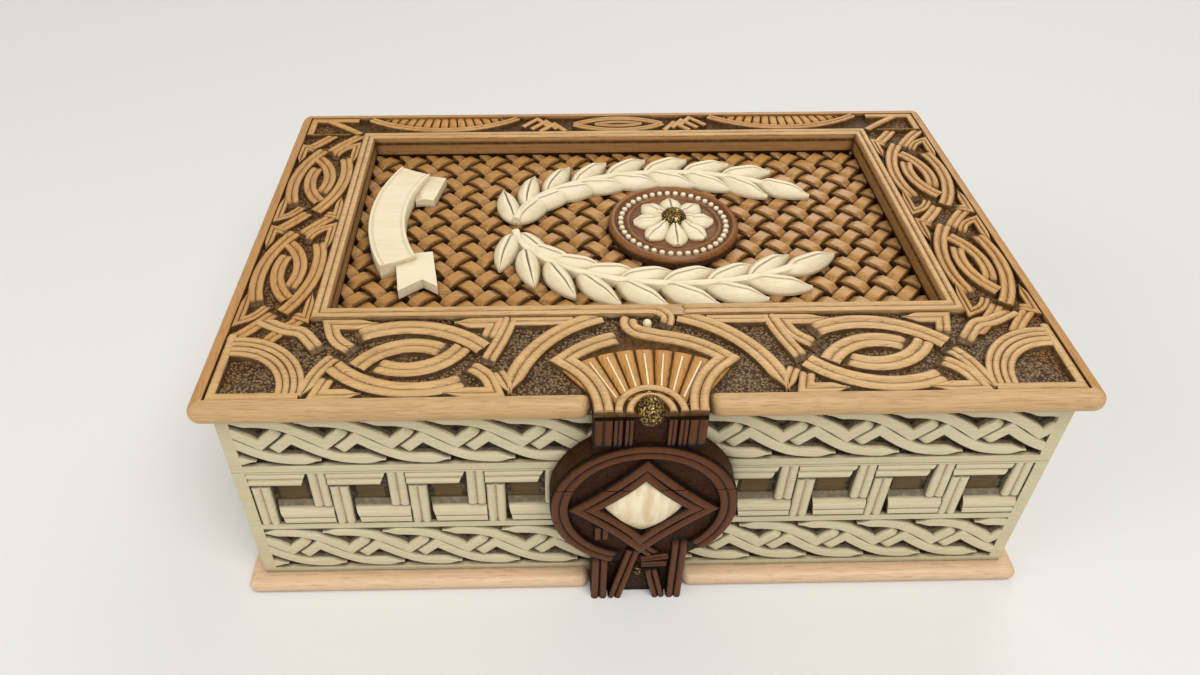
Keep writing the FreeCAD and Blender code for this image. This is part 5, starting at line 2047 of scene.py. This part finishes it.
@dataclass
class Studio:
    """The pale floor, the soft lights and the camera at the photograph's viewing angle."""

    camera_place: Spot = (-33.0, -300.4, 315.9)
    camera_pitch: float = 39.26
    camera_yaw: float = -1.11
    lens: float = 27.3
    shift: Point = (0.0328, -0.0386)
    near_clip: float = 0.01
    floor_reach: float = 4000.0
    floor_rise: float = 2000.0
    floor_bend: int = 80
    floor_bend_step: int = 10
    floor_turn_step: int = 5
    floor_colour: Colour = srgb(226, 224, 220)
    floor_rough: float = 0.8
    lamps: tuple[Lamp, ...] = (Lamp("key", (150, -420, 760), (0, 0, 60), 620, 5.5),
                               Lamp("fill", (-700, -260, 420), (0, 0, 50), 600, 2.0),
                               Lamp("back", (250, 650, 520), (0, 0, 80), 500, 1.6))
    lamp_reach: float = 3.0
    world_colour: Colour = (1.0, 0.97, 0.93, 1.0)
    world_strength: float = 0.3

    def build(self) -> None:
        """Set up the floor, the lamps, the world and the camera."""
        self.build_floor()
        for lamp in self.lamps:
            lamp.hang(self.lamp_reach)
        world = bpy.data.worlds.new("studio")
        world.use_nodes = True
        light = world.node_tree.nodes["Background"]
        NodeBoard(world.node_tree).wire(light, {"Color": self.world_colour, "Strength": self.world_strength})
        scene = bpy.context.scene
        scene.world = world
        data = bpy.data.cameras.new("camera")
        data.lens = self.lens
        data.shift_x, data.shift_y = self.shift
        data.clip_start = self.near_clip
        camera = bpy.data.objects.new("camera", data)
        camera.location = [value * MM for value in self.camera_place]
        camera.rotation_euler = (math.radians(90 - self.camera_pitch), 0, math.radians(self.camera_yaw))
        scene.collection.objects.link(camera)
        scene.camera = camera
        scene.view_settings.view_transform = "Standard"

    def build_floor(self) -> None:
        """Lay a wide pale floor under the box, which curves up far off on every side."""
        draft = Draft()
        bend = [(self.floor_reach + self.floor_rise * math.sin(turn), self.floor_rise * (1 - math.cos(turn)))
                for turn in np.radians(np.arange(0, self.floor_bend + 1, self.floor_bend_step))]
        around = np.radians(np.arange(0, 360, self.floor_turn_step))
        count = len(around)
        rings = [np.column_stack((reach * np.cos(around), reach * np.sin(around), np.full(count, rise)))
                 for reach, rise in bend]
        draft.add(np.vstack(rings), [tuple(range(count)), *bridged(len(bend), count, flipped=True)])
        floor = draft.piece("floor")
        floor.data.shade_smooth()
        made = bpy.data.materials.new("floor_paper")
        made.use_nodes = True
        NodeBoard(made.node_tree).wire(made.node_tree.nodes["Principled BSDF"],
                                       {"Base Color": self.floor_colour, "Roughness": self.floor_rough})
        floor.data.materials.append(made)


@dataclass
class CadFinishes:
    """The finishes of the CAD pieces that show as they are."""

    finishes: tuple[tuple[Finish, tuple[str, ...]], ...] = (
        (BASE, ("base_board",)),
        (WALL_LONG, ("front_wall", "back_wall", "rim_front", "rim_back")),
        (WALL_SHORT, ("left_wall", "right_wall", "rim_left", "rim_right")),
        (COVER_FRONT_LIT, ("frame_front",)), (COVER_LONG, ("frame_back",)),
        (COVER_SHORT, ("frame_left", "frame_right")),
        (TILE, ("front_tiles", "back_tiles", "left_tiles", "right_tiles")),
        (CLASP, ("clasp_upper", "clasp_lower")), (Bone(), ("clasp_diamond",)),
        (GILT, ("clasp_bead", "tail_bead", "rosette_bead")), (STEEL, ("tray_magnets", "lid_magnets")),
        (BRASS, ("left_hinge_tray_leaf", "right_hinge_tray_leaf", "left_hinge_lid_leaf",
                 "right_hinge_lid_leaf", "left_hinge_pin", "right_hinge_pin", "tray_hinge_screws",
                 "lid_hinge_screws")))

    def build(self, nodes: dict[str, Piece]) -> None:
        """Give each CAD piece its finish.

        Args:
            nodes: the frame's node objects by name.
        """
        for finish, names in self.finishes:
            made = finish.material()
            for name in names:
                piece = nodes[name]
                if not piece.material_slots:
                    piece.data.materials.append(made)
                for slot in piece.material_slots:
                    slot.material = made
                LOG.info("%s: finished in %s", name, made.name)


def main() -> None:
    """Build the box's looks piece by piece."""
    logging.basicConfig(level=logging.INFO, format="%(message)s")
    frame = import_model()
    Studio().build()
    CadFinishes().build(frame["nodes"])
    WeavePanel().build()
    WallBands().build()
    CoverBorder().build()
    FanShell().build()
    ClaspCarving().build()
    Emblem().build()
    Scroll().build()
    Lining().build()


if __name__ == "__main__":
    main()
